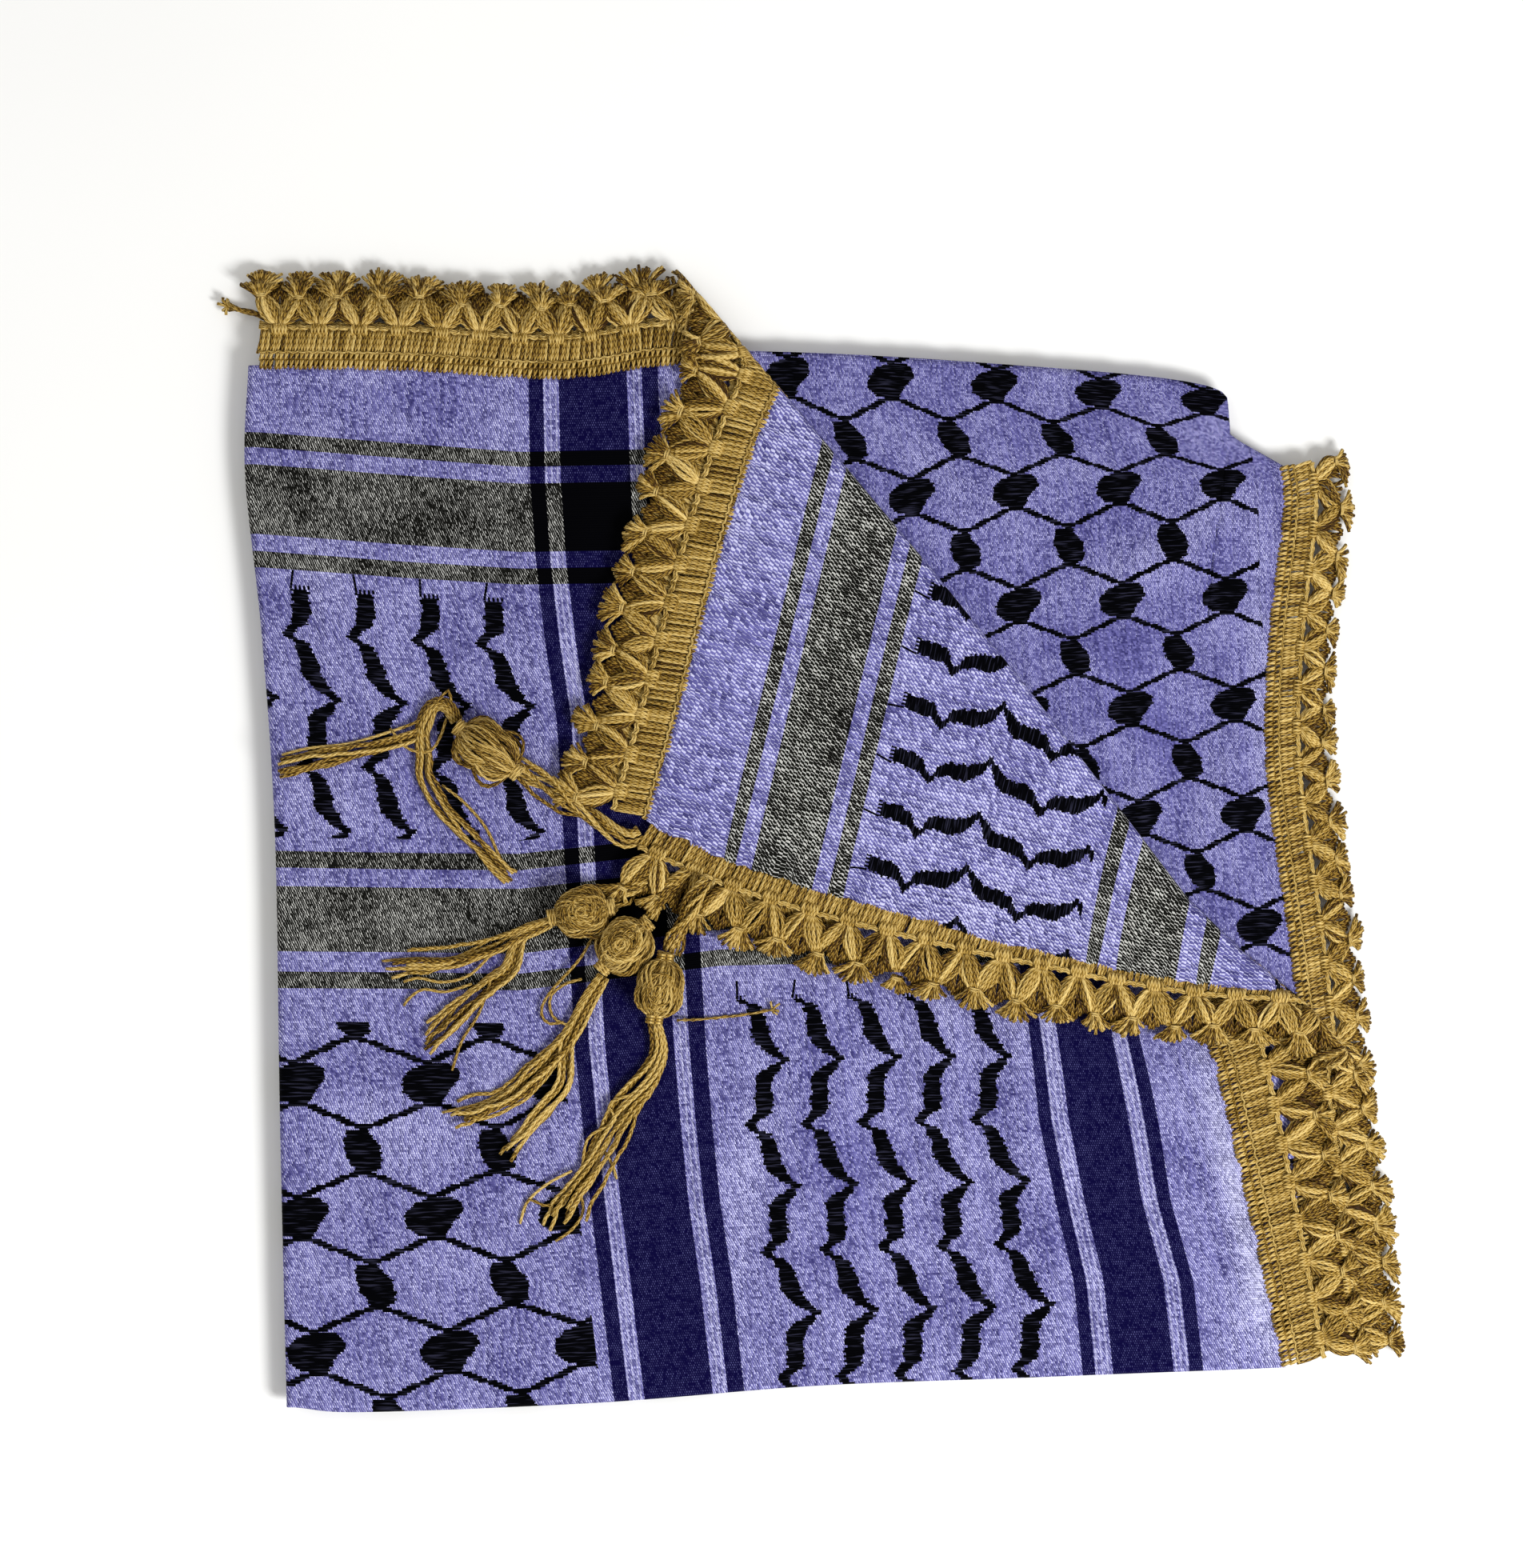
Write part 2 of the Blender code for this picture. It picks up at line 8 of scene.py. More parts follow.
import bmesh
import bpy
import numpy as np
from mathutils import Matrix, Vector


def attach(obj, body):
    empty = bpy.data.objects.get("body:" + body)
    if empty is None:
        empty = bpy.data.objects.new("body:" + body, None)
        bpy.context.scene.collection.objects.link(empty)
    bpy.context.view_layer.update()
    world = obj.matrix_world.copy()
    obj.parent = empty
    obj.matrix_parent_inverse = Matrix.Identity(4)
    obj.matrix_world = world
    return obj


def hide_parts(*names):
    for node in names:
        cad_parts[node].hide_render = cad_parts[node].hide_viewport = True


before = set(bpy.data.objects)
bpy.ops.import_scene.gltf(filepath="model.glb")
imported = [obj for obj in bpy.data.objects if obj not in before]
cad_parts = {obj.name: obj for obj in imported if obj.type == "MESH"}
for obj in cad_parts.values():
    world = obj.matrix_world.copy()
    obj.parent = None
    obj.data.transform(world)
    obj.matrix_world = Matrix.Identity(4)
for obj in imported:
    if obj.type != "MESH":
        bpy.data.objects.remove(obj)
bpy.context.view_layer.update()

MM = 0.001

# Heights of each layer's middle surface, as the CAD part has them.
CORE_TOP = 5.2
NET_HEIGHT = 6.2
BACK_HEIGHT = 7.7
FRONT_HEIGHT = 9.2
TURN_CENTRE = 10.1  # height of the axis that both turned layers go round
SHELL = 0.7  # thickness of the cloth as it is drawn
FRONT_TOP = FRONT_HEIGHT + SHELL / 2
TURN_CUTS = 8  # lines that a turned layer is cut in, so that its roll is round
CLOTH_CELL = 2.2  # size of a panel's cells
PANEL = 300.0  # a panel's width and length, roughly
ROLL_RADIUS = 2.0  # how round the folds at the left and at the foot are
ROLL_DROP = 1.8  # how far the fold's outer layer hangs down past its round
INSET = 3.6  # the second and third layers stop this far inside the folds
EDGE_BLEND = 18  # an inset or a round dies away over one part in this many of a panel's width
LACE_GAP = 0.4  # between the cloth's edge and the lace
LACE_FIRST = 3.0  # where a strip of lace starts along its edge
RIGHT_LACE_FIRST = 0.4  # and where the front right one does
SIDE_LACE_SHORT = 4.0  # where strips stop, before their edge does
FOOT_LACE_SHORT = 16.0
CORNER_SHORT = 1.5
FRONT_CORNER_SHORT = 2.5  # the front panel's corner is pulled back by this
UNDER_LIFT = 0.22  # relief of the lace that lies between the flap and the stack

# Outlines: smooth curves through columns x, y.
LEFT_FOLD = [(-170, 142.5), (-171, 110), (-166, 62), (-162, 2), (-160.5, -84), (-158.5, -170)]
FOOT_FOLD = [(-158.5, -170), (-135, -171.4), (-64, -168.5), (0, -163.5), (65, -161), (141, -158)]
TOP_EDGE = [(-170, 142.5), (-124, 142), (-76.5, 139.5), (-42, 143.5), (-15.5, 137)]
FRONT_RIGHT = [
    (141, -158), (135.5, -132), (127, -94), (119, -57.5), (114.5, -19.5), (113, 40), (115, 100),
]
BACK_RIGHT = [(149, -156), (146.5, -120), (143.5, -84), (144, -60), (145.5, -51)]
NET_TOP = [(-166, 143), (-76.5, 146), (-19, 147), (50, 143.5), (118, 136.5), (123, 123.5), (140.5, 112.5)]
NET_RIGHT = [(140.5, 112.5), (141.5, 98.5), (137, 58), (136.5, 20), (144, -36), (148.5, -84), (150, -156)]
TURN_START = (-15.5, 137.0)
TURN_END = (145.5, -51.0)
FLAP_SIDE = [(-15.5, 137), (-19, 118), (-29.5, 85), (-42.5, 36), (-51.5, 5)]
FLAP_FOOT = [(145.5, -51), (103.5, -41.5), (55.5, -31), (7.5, -17.5), (-25, -7), (-51.5, 5)]
# How far the turning line bows inwards: share along it, bow. It dies away over BOW_REACH.
TURN_BOW = [(0.0, 0.0), (0.3, 0.7), (0.5, 2.2), (0.7, 5.0), (0.81, 6.6), (0.9, 4.4), (1.0, 0.0)]
BOW_REACH = 42.0

# Lace widths: share of the strip's length, width.
FRONT_TOP_LACE = [(0.0, 25.0), (0.3, 24.5), (0.42, 25.0), (0.55, 25.0), (1.0, 24.0)]
BACK_TOP_LACE = [(0.0, 28.0), (0.2, 26.8), (0.45, 28.6), (0.52, 30.4), (0.6, 29.0), (1.0, 27.0)]
FRONT_RIGHT_LACE = [(0.0, 25.5), (0.25, 30.5), (1.0, 27.0)]
BACK_RIGHT_LACE = [(0.0, 28.3), (0.2, 26.5), (0.38, 17.0), (0.6, 21.0), (1.0, 23.0)]
NET_RIGHT_LACE = [(0.0, 20.0), (0.5, 20.0), (1.0, 19.0)]
# How much of a lace's border lies under the cloth: share of the strip's length, width.
NOT_TUCKED = [(0.0, 0.0), (1.0, 0.0)]
TUCKED = {
    "back_lace_top": [(0.0, 0.0), (0.46, 0.0), (0.53, 3.4), (1.0, 3.8)],
    "back_lace_right": [(0.0, 0.0), (0.29, 0.0), (0.34, 10.5), (0.6, 9.5), (0.8, 6.8), (1.0, 6.2)],
}

# Past the stack's cloth, at the top (x, y) and at the right (y, x), everything sinks towards the table.
SINK = 4.6
SINK_REACH = 26.0
SINK_TOP = [(-180, 145), (-76, 147.5), (-19, 148.5), (50, 147), (140, 143)]
SINK_RIGHT = [(-170, 152), (-84, 150.5), (-36, 146), (20, 138.5), (98, 143.5), (150, 143.5)]

# The stack's soft ridges, as the CAD part has them: x, y, heading, half length, half width, height.
RIDGES = [
    (-146, 20, 92, 120, 18, 0.9), (-60, -146, 2, 70, 18, 0.8), (60, -105, 78, 45, 18, 0.9),
    (116, -112, 100, 46, 17, 1), (96, 70, 60, 40, 18, 1.1), (20, 40, 72, 48, 20, 1),
]

# Creases that go through every layer, in the same columns. A negative height is a trough.
CREASES = [
    (-120, 128, 4, 30, 5, 0.7), (-98, 133, -12, 20, 4, -0.5), (-150, 60, 84, 34, 5, 0.5),
    (-105, -20, 4, 45, 6, -0.5), (-70, 95, 82, 40, 5, 0.4), (-30, -110, 86, 44, 6, 0.6),
    (-16, -96, 80, 40, 5, -0.5), (40, -82, 98, 38, 6, 0.5), (84, -78, 84, 36, 5, -0.6),
    (104, -96, 96, 40, 5, 0.7), (122, -120, 74, 30, 4, -0.7), (130, -140, 66, 18, 3.5, 0.6),
    (-120, -128, 12, 40, 7, 0.5), (-142, -100, 70, 26, 5, -0.4), (-90, -158, 2, 50, 5, 0.5),
    (70, -148, 172, 40, 6, 0.5), (44, 118, 150, 26, 6, 0.8), (60, 96, 128, 30, 5, -0.6),
    (92, 104, 160, 26, 5, 0.7), (104, 84, 24, 22, 5, 0.8), (112, 60, 110, 30, 5, -0.7),
    (126, 40, 94, 40, 4, 0.8), (118, 6, 68, 26, 5, 0.6), (-20, 66, 74, 44, 6, 0.7),
    (-8, 30, 82, 30, 5, -0.6), (10, 70, 128, 26, 6, -0.5), (44, 0, 172, 40, 6, 0.5),
]

# Where the light thread shows more or less, as painted sheen and painted shade from how the cloth lies to the
# light,
# and from wear: the same columns, with a strength in place of the height.
SHEEN_SHADE_AND_WEAR = [
    (127.5, -112, 103, 52, 4.5, 1.9), (133, -134, 66, 30, 4, 0.6), (134, 46, 92, 50, 4, 0.9),
    (108, 92, 30, 24, 8, 0.6), (44, 108, 150, 22, 8, 0.45), (120, 12, 80, 22, 7, 0.5),
    (98, 42, 120, 26, 8, -0.5), (-24, 96, 70, 30, 8, 0.45), (-26, 60, 74, 30, 9, -0.45),
    (60, -22, 168, 50, 9, 0.5), (36, 4, 168, 34, 9, 0.3), (-22, -110, 84, 40, 6, 0.6),
    (10, -100, 84, 30, 12, -0.4), (-148, 88, 88, 30, 8, 0.4), (-148, -20, 88, 40, 8, 0.35),
    (-128, -90, 20, 24, 14, 0.35), (-110, 20, 60, 30, 18, -0.3), (-128, 132, 2, 30, 5, -0.4),
    (60, -56, 150, 30, 12, 0.35),
]

# The front panel's cut: the scarf's width U at lines that run down it, columns y, x.
FRONT_COLUMNS = {
    202.3: [
        (132.1, -86), (108.1, -85.6), (84.1, -83.9), (60.1, -81.2), (36.1, -77.6), (0.1, -75.5),
        (-59.9, -72.4), (-83.9, -70), (-107.9, -67.6), (-131.9, -64.7), (-155.9, -61.8),
    ],
    162.7: [
        (132.1, -46.9), (84.1, -44.8), (36.1, -38.5), (0.1, -36.4), (-59.9, -33), (-83.9, -31.1),
        (-107.9, -28.7), (-131.9, -25.1), (-155.9, -22.4),
    ],
    60.7: [(36.1, 52.9), (-59.9, 64.9), (-83.9, 67.1), (-107.9, 71.9), (-131.9, 77.4), (-155.9, 79.8)],
    24.5: [(36.1, 88.9), (-59.9, 98.8), (-83.9, 102.8), (-107.9, 106.4), (-131.9, 113.2), (-155.9, 116)],
    0: [(36.1, 113), (-59.9, 119.4), (-83.9, 124.2), (-107.9, 130.4), (-131.9, 137.2), (-155.9, 140.5)],
}
# And its length L at lines that run across it: y at each x of ROW_X.
ROW_X = (-168.1, -124.7, -88.7, -28.7, 19.3, 140.8)
FRONT_ROWS = {
    0.0: (143.2, 141.5, 139.3, 141.2, 142.9, 146.5),
    22.5: (122.5, 119.2, 116.5, 117.7, 119.4, 122.5),
    62.3: (82.0, 78.8, 76.7, 77.6, 79.3, 82.9),
    146.0: (-3.0, -3.7, -4.0, 2.5, 3.7, 4.9),
    187.0: (-44.3, -44.5, -45.0, -37.6, -36.6, -35.9),
    313.0: (-171.0, -170.8, -169.3, -165.0, -162.4, -157.8),
}
# The net's first row of knots is pulled to the right: its y, reach, how far, and the x where that ends.
NET_PULL = (-74.0, 15.0, 3.4, -85.0)
# The turned corner's cut, measured from the corner: along its foot (distance, L), and along its side.
FLAP_CORNER = (-51.5, 4.9)
FLAP_ALONG_FOOT = (0.972, -0.233)
FLAP_ALONG_SIDE = (0.233, 0.972)
FLAP_LENGTHS = [(0, 0), (25.4, 22.5), (53.6, 52.5), (63, 62.3), (139.5, 146), (216, 226)]
FLAP_SHRINK = 0.875  # the flap's millimetres in one of the scarf's
CORNER_U = 605.6
# The net panel's cut: one column of knots (y, x), its U, and each row's y at three x.
NET_COLUMN = [(-25.1, 133.3), (8.8, 128.3), (41.2, 125.6), (73.6, 123), (107.9, 122.3), (134.5, 116)]
NET_COLUMN_U = 290.3
NET_SHRINK = 0.774
NET_ROW_X = (-8.0, 55.3, 122.5)
NET_ROWS = [
    (139.6, 136.9, 131.6), (100.9, 105.2, 107.9), (66.1, 70.4, 73.6), (34.9, 38, 41.2), (1.3, 4.9, 8.3),
    (-32.3, -28.7, -25.6),
]
NET_ENDS_U = 276.5  # the net panel's own knots start here

# The woven pattern, in the scarf's own millimetres: bands along U and along L, as low, high.
NAVY_BANDS = [(24.5, 28.6), (33.4, 51.6), (56.9, 60.7), (162.7, 167.7), (172.3, 193.1), (197.9, 202.3)]
GREY_BANDS = [(22.5, 27.0), (32.0, 52.5), (57.5, 62.3), (146.0, 151.0), (156.5, 176.0), (182.0, 187.0)]
LINED_BANDS = [(28.6, 33.4), (51.6, 56.9), (166.6, 171.8), (192.4, 198.4)]
LINE_PITCH = 1.7  # of the fine light lines that run along the lined bands
LINE_SHARE = 0.3  # of the pitch that a line takes
TWILL_SHARE = 0.42  # of the thread spacing that a light thread takes on navy
SHINE_FROM = 0.56  # above this the noise along the black floats shines
RAGGED_WIDTH = 9.0  # across which the pattern's sides are ragged alike
NET_PITCH = 40.3  # from knot to knot
NET_ORIGIN = (209.4, 215.0)
NET_START_L = 197.0
NET_START_U = 206.0
NET_LINE = 0.98  # half the height of the net's lines
NET_SLOPE = 8.1  # how far a line falls or rises from a knot to the next
NET_FALL, NET_RISE = 5.8, 34.5  # where they leave a knot, down from it
LEAF_PERIOD = 38.0
LEAF_SIDE = 2.0  # how far a leaf reaches past its column's left
FRAYED = 1.3  # length of the loose threads that a column of leaves starts with
FRAY_PITCH = 1.3
FRAY_SHARE = 0.55
STEM_LENGTH = 4.4  # the one thread that stands above a column's start
STEM_HALF = 0.36
# Black leaf: distance down it, its left side and its right side.
LEAF = [
    (0, 11.3, 14.1), (1.3, 8.9, 12.4), (3.2, 5.2, 10.9), (5, 3.1, 8.9), (8, 2.7, 8.1), (12, 2.5, 7.8),
    (15.5, 2.4, 7.5), (17, 0.9, 5.6), (18.5, -0.5, 2.7), (19.6, -1.6, 1.6), (20.6, -0.1, 2.5),
    (21.9, 1.7, 5.9), (23.5, 2.5, 7.3), (27, 2.8, 8.3), (31, 3, 9), (32.5, 3.7, 9.5), (34.5, 5.8, 10.6),
    (36.5, 7.8, 12), (38, 10.9, 14.2),
]
SIDE_LEAVES = {
    "first": 80.8, "spacing": 17.6, "tip": 215.3, "rate": 1, "across": (65.6, 153.6), "along": (196, 900),
}
END_LEAVES = {
    "first": 221.9, "spacing": 19.2, "tip": 61.2, "rate": 0.969, "across": (205.5, 900),
    "along": (66.8, 142),
}
# Black knots of the net: distance down, left side, right side.
KNOT_A = [
    (-5.9, 0, 6.1), (-3.9, -5.8, 8.7), (-1.3, -8.4, 8.9), (0.6, -9, 7.1), (3.2, -8.7, 4.8),
    (5.8, -5.5, 3.2),
]
KNOT_B = [
    (-5.8, -4.8, 1.6), (-3.5, -5.5, 3.2), (-1, -5.8, 5.5), (2.3, -4.8, 6), (5.5, -2.6, 5.5),
    (6.4, -1.6, 3.5),
]
# The pattern's edges go in steps of these sizes.
STEP_ACROSS = 1.45
STEP_DOWN = 0.73
# How each layer's weave shows: see woven_material.
FRONT_WEAVE = {"thread": 0.70, "twill": 0.42, "evenness": 0.62, "light": 0.24}
NET_WEAVE = {"thread": 0.70, "twill": 0.42, "evenness": 0.65, "light": 0.14}
FLAP_WEAVE = {"thread": 1.36, "twill": -0.9, "evenness": 0.7, "light": 0.32}

# Linear colours.
LAVENDER = (0.158, 0.150, 0.415)
LIGHT_THREAD = (0.66, 0.66, 0.90)
DEEP_THREAD = (0.036, 0.033, 0.135)
NAVY = (0.0030, 0.0020, 0.034)
NAVY_TWILL = (0.10, 0.10, 0.27)
BLACK = (0.0008, 0.0008, 0.0015)
BLACK_SHINE = (0.022, 0.022, 0.042)
GREY_DARK = (0.006, 0.006, 0.005)
GREY_LIGHT = (0.56, 0.56, 0.53)
GOLD = (0.33, 0.190, 0.022)
# The light gold is partly a painted highlight on the plies' crowns, and the dark gold partly painted shade in
# grooves and under the lace; both also give the yarns' own lighter and darker colour.
GOLD_LIGHT_AND_HIGHLIGHT = (0.80, 0.59, 0.215)
GOLD_DARK_AND_SHADE = (0.036, 0.014, 0.0012)
FLOOR_DULL = (0.90, 0.90, 0.885)
FLOOR_PALE = (0.93, 0.93, 0.92)


# ---------------------------------------------------------------- places

def smooth_curve(points):
    """A function of shares 0..1 that runs evenly along a Catmull-Rom curve through the points."""
    knots = np.array(points, float)
    padded = np.vstack([2 * knots[0] - knots[1], knots, 2 * knots[-1] - knots[-2]])
    fine = []
    for i in range(1, len(padded) - 2):
        p0, p1, p2, p3 = padded[i - 1 : i + 3]
        for t in np.linspace(0.0, 1.0, 12, endpoint=False):
            fine.append(
                0.5 * (2 * p1 + (p2 - p0) * t + (2 * p0 - 5 * p1 + 4 * p2 - p3) * t**2
                       + (3 * p1 - p0 - 3 * p2 + p3) * t**3)
            )
    fine = np.vstack([fine, knots[-1]])
    lengths = np.concatenate([[0.0], np.cumsum(np.linalg.norm(np.diff(fine, axis=0), axis=1))])

    def at(share):
        distance = np.asarray(share, float) * lengths[-1]
        columns = [np.interp(distance, lengths, column) for column in fine.T]
        return np.stack(columns, axis=-1)

    at.length = lengths[-1]
    return at


def chain(*tables):
    """One smooth curve through tables that each start where the last one ends."""
    points = list(tables[0])
    for table in tables[1:]:
        points += list(table)[1:]
    return smooth_curve(points)


TURN = np.array(TURN_END) - np.array(TURN_START)
TURN_LENGTH = np.linalg.norm(TURN)
TURN_WAY = TURN / TURN_LENGTH
PAST = np.array((-TURN_WAY[1], TURN_WAY[0]))


def along_turn(plan):
    """Share along the turning line of each point, and its distance past the line."""
    offset = plan - np.array(TURN_START)
    return offset @ TURN_WAY / TURN_LENGTH, offset @ PAST


def bow(plan):
    """How far the turning line's bow carries each point."""
    share, distance = along_turn(plan)
    amount = np.interp(share, *zip(*TURN_BOW)) * np.exp(-((distance / BOW_REACH) ** 2))
    return -PAST * amount[..., None]


def reflected(plan):
    """Points mirrored in the turning line."""
    return plan - 2 * along_turn(plan)[1][..., None] * PAST


def unfolded(table, height):
    """The places in the flat sheet, at its layer's height, of points of the turned corner."""
    points = np.array(table, float)
    points = points - bow(points)
    return [tuple(point) for point in reflected(points) + PAST * pi * (TURN_CENTRE - height)]


def shortened(table, amount):
    """The corner's outline pulled back from its tip, which is the table's last point."""
    points = np.array(table, float)
    centre = (np.array(TURN_START) + np.array(TURN_END)) / 2
    pull = (centre - points[-1]) / np.linalg.norm(centre - points[-1])
    share = np.linspace(0.0, 1.0, len(points))[:, None]
    return [tuple(point) for point in points + share * pull * amount]


def mounds(plan, table):
    """The sum of soft long mounds: x, y, heading in degrees, half length, half width, height."""
    total = np.zeros(plan.shape[:-1])
    for x, y, heading, length, width, height in table:
        angle = radians(heading)
        along = (plan[..., 0] - x) * cos(angle) + (plan[..., 1] - y) * sin(angle)
        across = -(plan[..., 0] - x) * sin(angle) + (plan[..., 1] - y) * cos(angle)
        total += height * np.exp(-((along / length) ** 2) - (across / width) ** 2)
    return total


def lie(plan):
    """How far each point of the stack is lifted by its ridges and creases, less its sink past the edges."""
    past_top = plan[..., 1] - np.interp(plan[..., 0], *zip(*SINK_TOP))
    past_right = plan[..., 0] - np.interp(plan[..., 1], *zip(*SINK_RIGHT))
    share = np.clip(np.maximum(past_top, past_right) / SINK_REACH, 0.0, 1.0)
    sink = -SINK * share * share * (3 - 2 * share)
    return sink + mounds(plan, RIDGES) + mounds(plan, CREASES)


def folded(points):
    """Carries points of the flat sheet (x, y, height) round the turning line to where they lie."""
    plan, height = points[..., :2], points[..., 2]
    radius = TURN_CENTRE - height
    distance = along_turn(plan)[1]
    turning = (distance > 0.0) & (distance < pi * radius)
    over = (distance > 0.0) & ~turning
    angle = np.where(turning, distance / np.where(np.abs(radius) < 1e-6, 1e-6, radius), 0.0)
    shift = np.where(turning, radius * np.sin(angle) - distance, 0.0)
    shift = np.where(over, pi * radius - 2 * distance, shift)
    height = np.where(turning, TURN_CENTRE - radius * np.cos(angle), height)
    height = np.where(over, TURN_CENTRE + radius, height)
    plan = plan + shift[..., None] * PAST
    plan = plan + bow(plan)
    return np.concatenate([plan, (height + lie(plan))[..., None]], axis=-1)


def laid(points):
    """Puts points (x, y, height) on the stack where nothing turns."""
    return np.concatenate([points[..., :2], (points[..., 2] + lie(points[..., :2]))[..., None]], axis=-1)


# ---------------------------------------------------------------- the scarf's own millimetres

def across_lines(value, lines):
    """Interpolates along each row of lines, going on past its ends at the same rate."""
    result = np.interp(value, *lines)
    xs, ys = np.array(lines[0], float), np.array(lines[1], float)
    before = ys[0] + (value - xs[0]) * (ys[1] - ys[0]) / (xs[1] - xs[0])
    after = ys[-1] + (value - xs[-1]) * (ys[-1] - ys[-2]) / (xs[-1] - xs[-2])
    return np.where(value < xs[0], before, np.where(value > xs[-1], after, result))


def between_lines(value, places, marks):
    """For each point: places[i] is where line i lies there, marks[i] what it stands for."""
    order = np.argsort([float(np.mean(place)) for place in places])
    places = [places[i] for i in order]
    marks = [marks[i] for i in order]
    result = np.zeros_like(value)
    for i in range(len(places) - 1):
        low, high = places[i], places[i + 1]
        share = (value - low) / (high - low)
        inside = np.ones_like(value, bool)
        if i > 0:
            inside &= share >= 0
        if i < len(places) - 2:
            inside &= share < 1
        result = np.where(inside, marks[i] + share * (marks[i + 1] - marks[i]), result)
    return result


def front_cut(plan):
    """U and L of the front panel's points, given in the flat sheet."""
    x, y = plan[..., 0], plan[..., 1]
    columns = {mark: across_lines(y, tuple(zip(*sorted(table)))) for mark, table in FRONT_COLUMNS.items()}
    u = between_lines(x, list(columns.values()), list(columns))
    u = np.where(x < columns[202.3], 202.3 + columns[202.3] - x, u)
    height, reach, pull, border = NET_PULL
    u = u + pull * np.exp(-(((y - height) / reach) ** 2)) * np.clip((border - x) / reach, 0.0, 1.0)
    rows = [np.interp(x, ROW_X, heights) for heights in FRONT_ROWS.values()]
    return np.stack([u, between_lines(y, rows, list(FRONT_ROWS))], axis=-1)


def flap_cut(plan):
    """U and L of the turned layer's points, given in the flat sheet."""
    offset = reflected(plan) + PAST * pi * (TURN_CENTRE - BACK_HEIGHT) - np.array(FLAP_CORNER)
    along = offset @ np.array(FLAP_ALONG_FOOT)
    aside = offset @ np.array(FLAP_ALONG_SIDE)
    length = across_lines(along, tuple(zip(*FLAP_LENGTHS)))
    return np.stack([CORNER_U - aside / FLAP_SHRINK, length], axis=-1)


def net_cut(plan):
    """U and L of the net panel's points."""
    x, y = plan[..., 0], plan[..., 1]
    u = NET_COLUMN_U + (np.interp(y, *zip(*NET_COLUMN)) - x) / NET_SHRINK
    rows = [np.interp(x, NET_ROW_X, heights) for heights in NET_ROWS]
    marks = [NET_ORIGIN[1] + NET_PITCH * (number + 1) for number in range(len(rows))]
    return np.stack([u, between_lines(y, rows, marks)], axis=-1)


# ---------------------------------------------------------------- materials

class Field:
    """A number that a material works out at each point. Arithmetic on it adds Math nodes."""

    def __init__(self, tree, socket):
        self.tree = tree
        self.socket = socket

    def math(self, operation, *others, clamp=False):
        node = self.tree.nodes.new("ShaderNodeMath")
        node.operation = operation
        node.use_clamp = clamp
        for place, value in zip(node.inputs, (self, *others)):
            if isinstance(value, Field):
                self.tree.links.new(value.socket, place)
            else:
                place.default_value = value
        return Field(self.tree, node.outputs[0])

    def __add__(self, other):
        return self.math("ADD", other)

    def __sub__(self, other):
        return self.math("SUBTRACT", other)

    def __mul__(self, other):
        return self.math("MULTIPLY", other)

    def __truediv__(self, other):
        return self.math("DIVIDE", other)

    def __gt__(self, other):
        return self.math("GREATER_THAN", other)

    def __lt__(self, other):
        return self.math("LESS_THAN", other)

    def __neg__(self):
        return self * -1.0

    def either(self, other):
        return self.math("MAXIMUM", other)

    def inside(self, low, high):
        return (self > low) * (self < high)

    def part(self, size=1.0):
        """What is left over past whole sizes."""
        return self.math("FLOORED_MODULO", size)

    def stepped(self, size):
        return ((self / size).math("FLOOR") + 0.5) * size


def bands(value, table):
    total = value.inside(*table[0])
    for low, high in table[1:]:
        total = total + value.inside(low, high)
    return total


def vector(x, y):
    node = x.tree.nodes.new("ShaderNodeCombineXYZ")
    x.tree.links.new(x.socket, node.inputs[0])
    x.tree.links.new(y.socket, node.inputs[1])
    return node.outputs[0]


def noise(x, y, scale=1.0, detail=2.0, rough=0.5):
    node = x.tree.nodes.new("ShaderNodeTexNoise")
    node.noise_dimensions = "2D"
    node.inputs["Scale"].default_value = scale
    node.inputs["Detail"].default_value = detail
    node.inputs["Roughness"].default_value = rough
    x.tree.links.new(vector(x, y), node.inputs["Vector"])
    return Field(x.tree, node.outputs[0])


def scatter(x, y):
    """A number from 0 to 1 for each pair of values, with no run from one to the next."""
    node = x.tree.nodes.new("ShaderNodeTexWhiteNoise")
    node.noise_dimensions = "2D"
    x.tree.links.new(vector(x, y), node.inputs["Vector"])
    return Field(x.tree, node.outputs["Value"])


def charted(value, points):
    """A chart as a curve node with straight runs between its points."""
    lowest, highest = points[0][0], points[-1][0]
    values = [height for _, height in points]
    base, span = min(values), max(values) - min(values)
    node = value.tree.nodes.new("ShaderNodeFloatCurve")
    curve = node.mapping.curves[0]
    shares = [((at - lowest) / (highest - lowest), (height - base) / span) for at, height in points]
    curve.points[0].location = shares[0]
    curve.points[1].location = shares[-1]
    for share in shares[1:-1]:
        curve.points.new(*share)
    for point in curve.points:
        point.handle_type = "VECTOR"
    node.mapping.update()
    share = (value - lowest) / (highest - lowest)
    value.tree.links.new(share.socket, node.inputs["Value"])
    return Field(value.tree, node.outputs[0]) * span + base


def mixed(share, first, second):
    """Colour that goes from first to second as share goes from 0 to 1."""
    node = share.tree.nodes.new("ShaderNodeMix")
    node.data_type = "RGBA"
    share.tree.links.new(share.socket, node.inputs["Factor"])
    sockets = [s for s in node.inputs if s.type == "RGBA"]
    for place, value in zip(sockets, (first, second)):
        if isinstance(value, tuple):
            place.default_value = (*value, 1.0)
        else:
            share.tree.links.new(value, place)
    return [s for s in node.outputs if s.type == "RGBA"][0]


BUMP_STRENGTH = 0.8
PLY_PITCH = 2.2  # of the plies that wind round a yarn


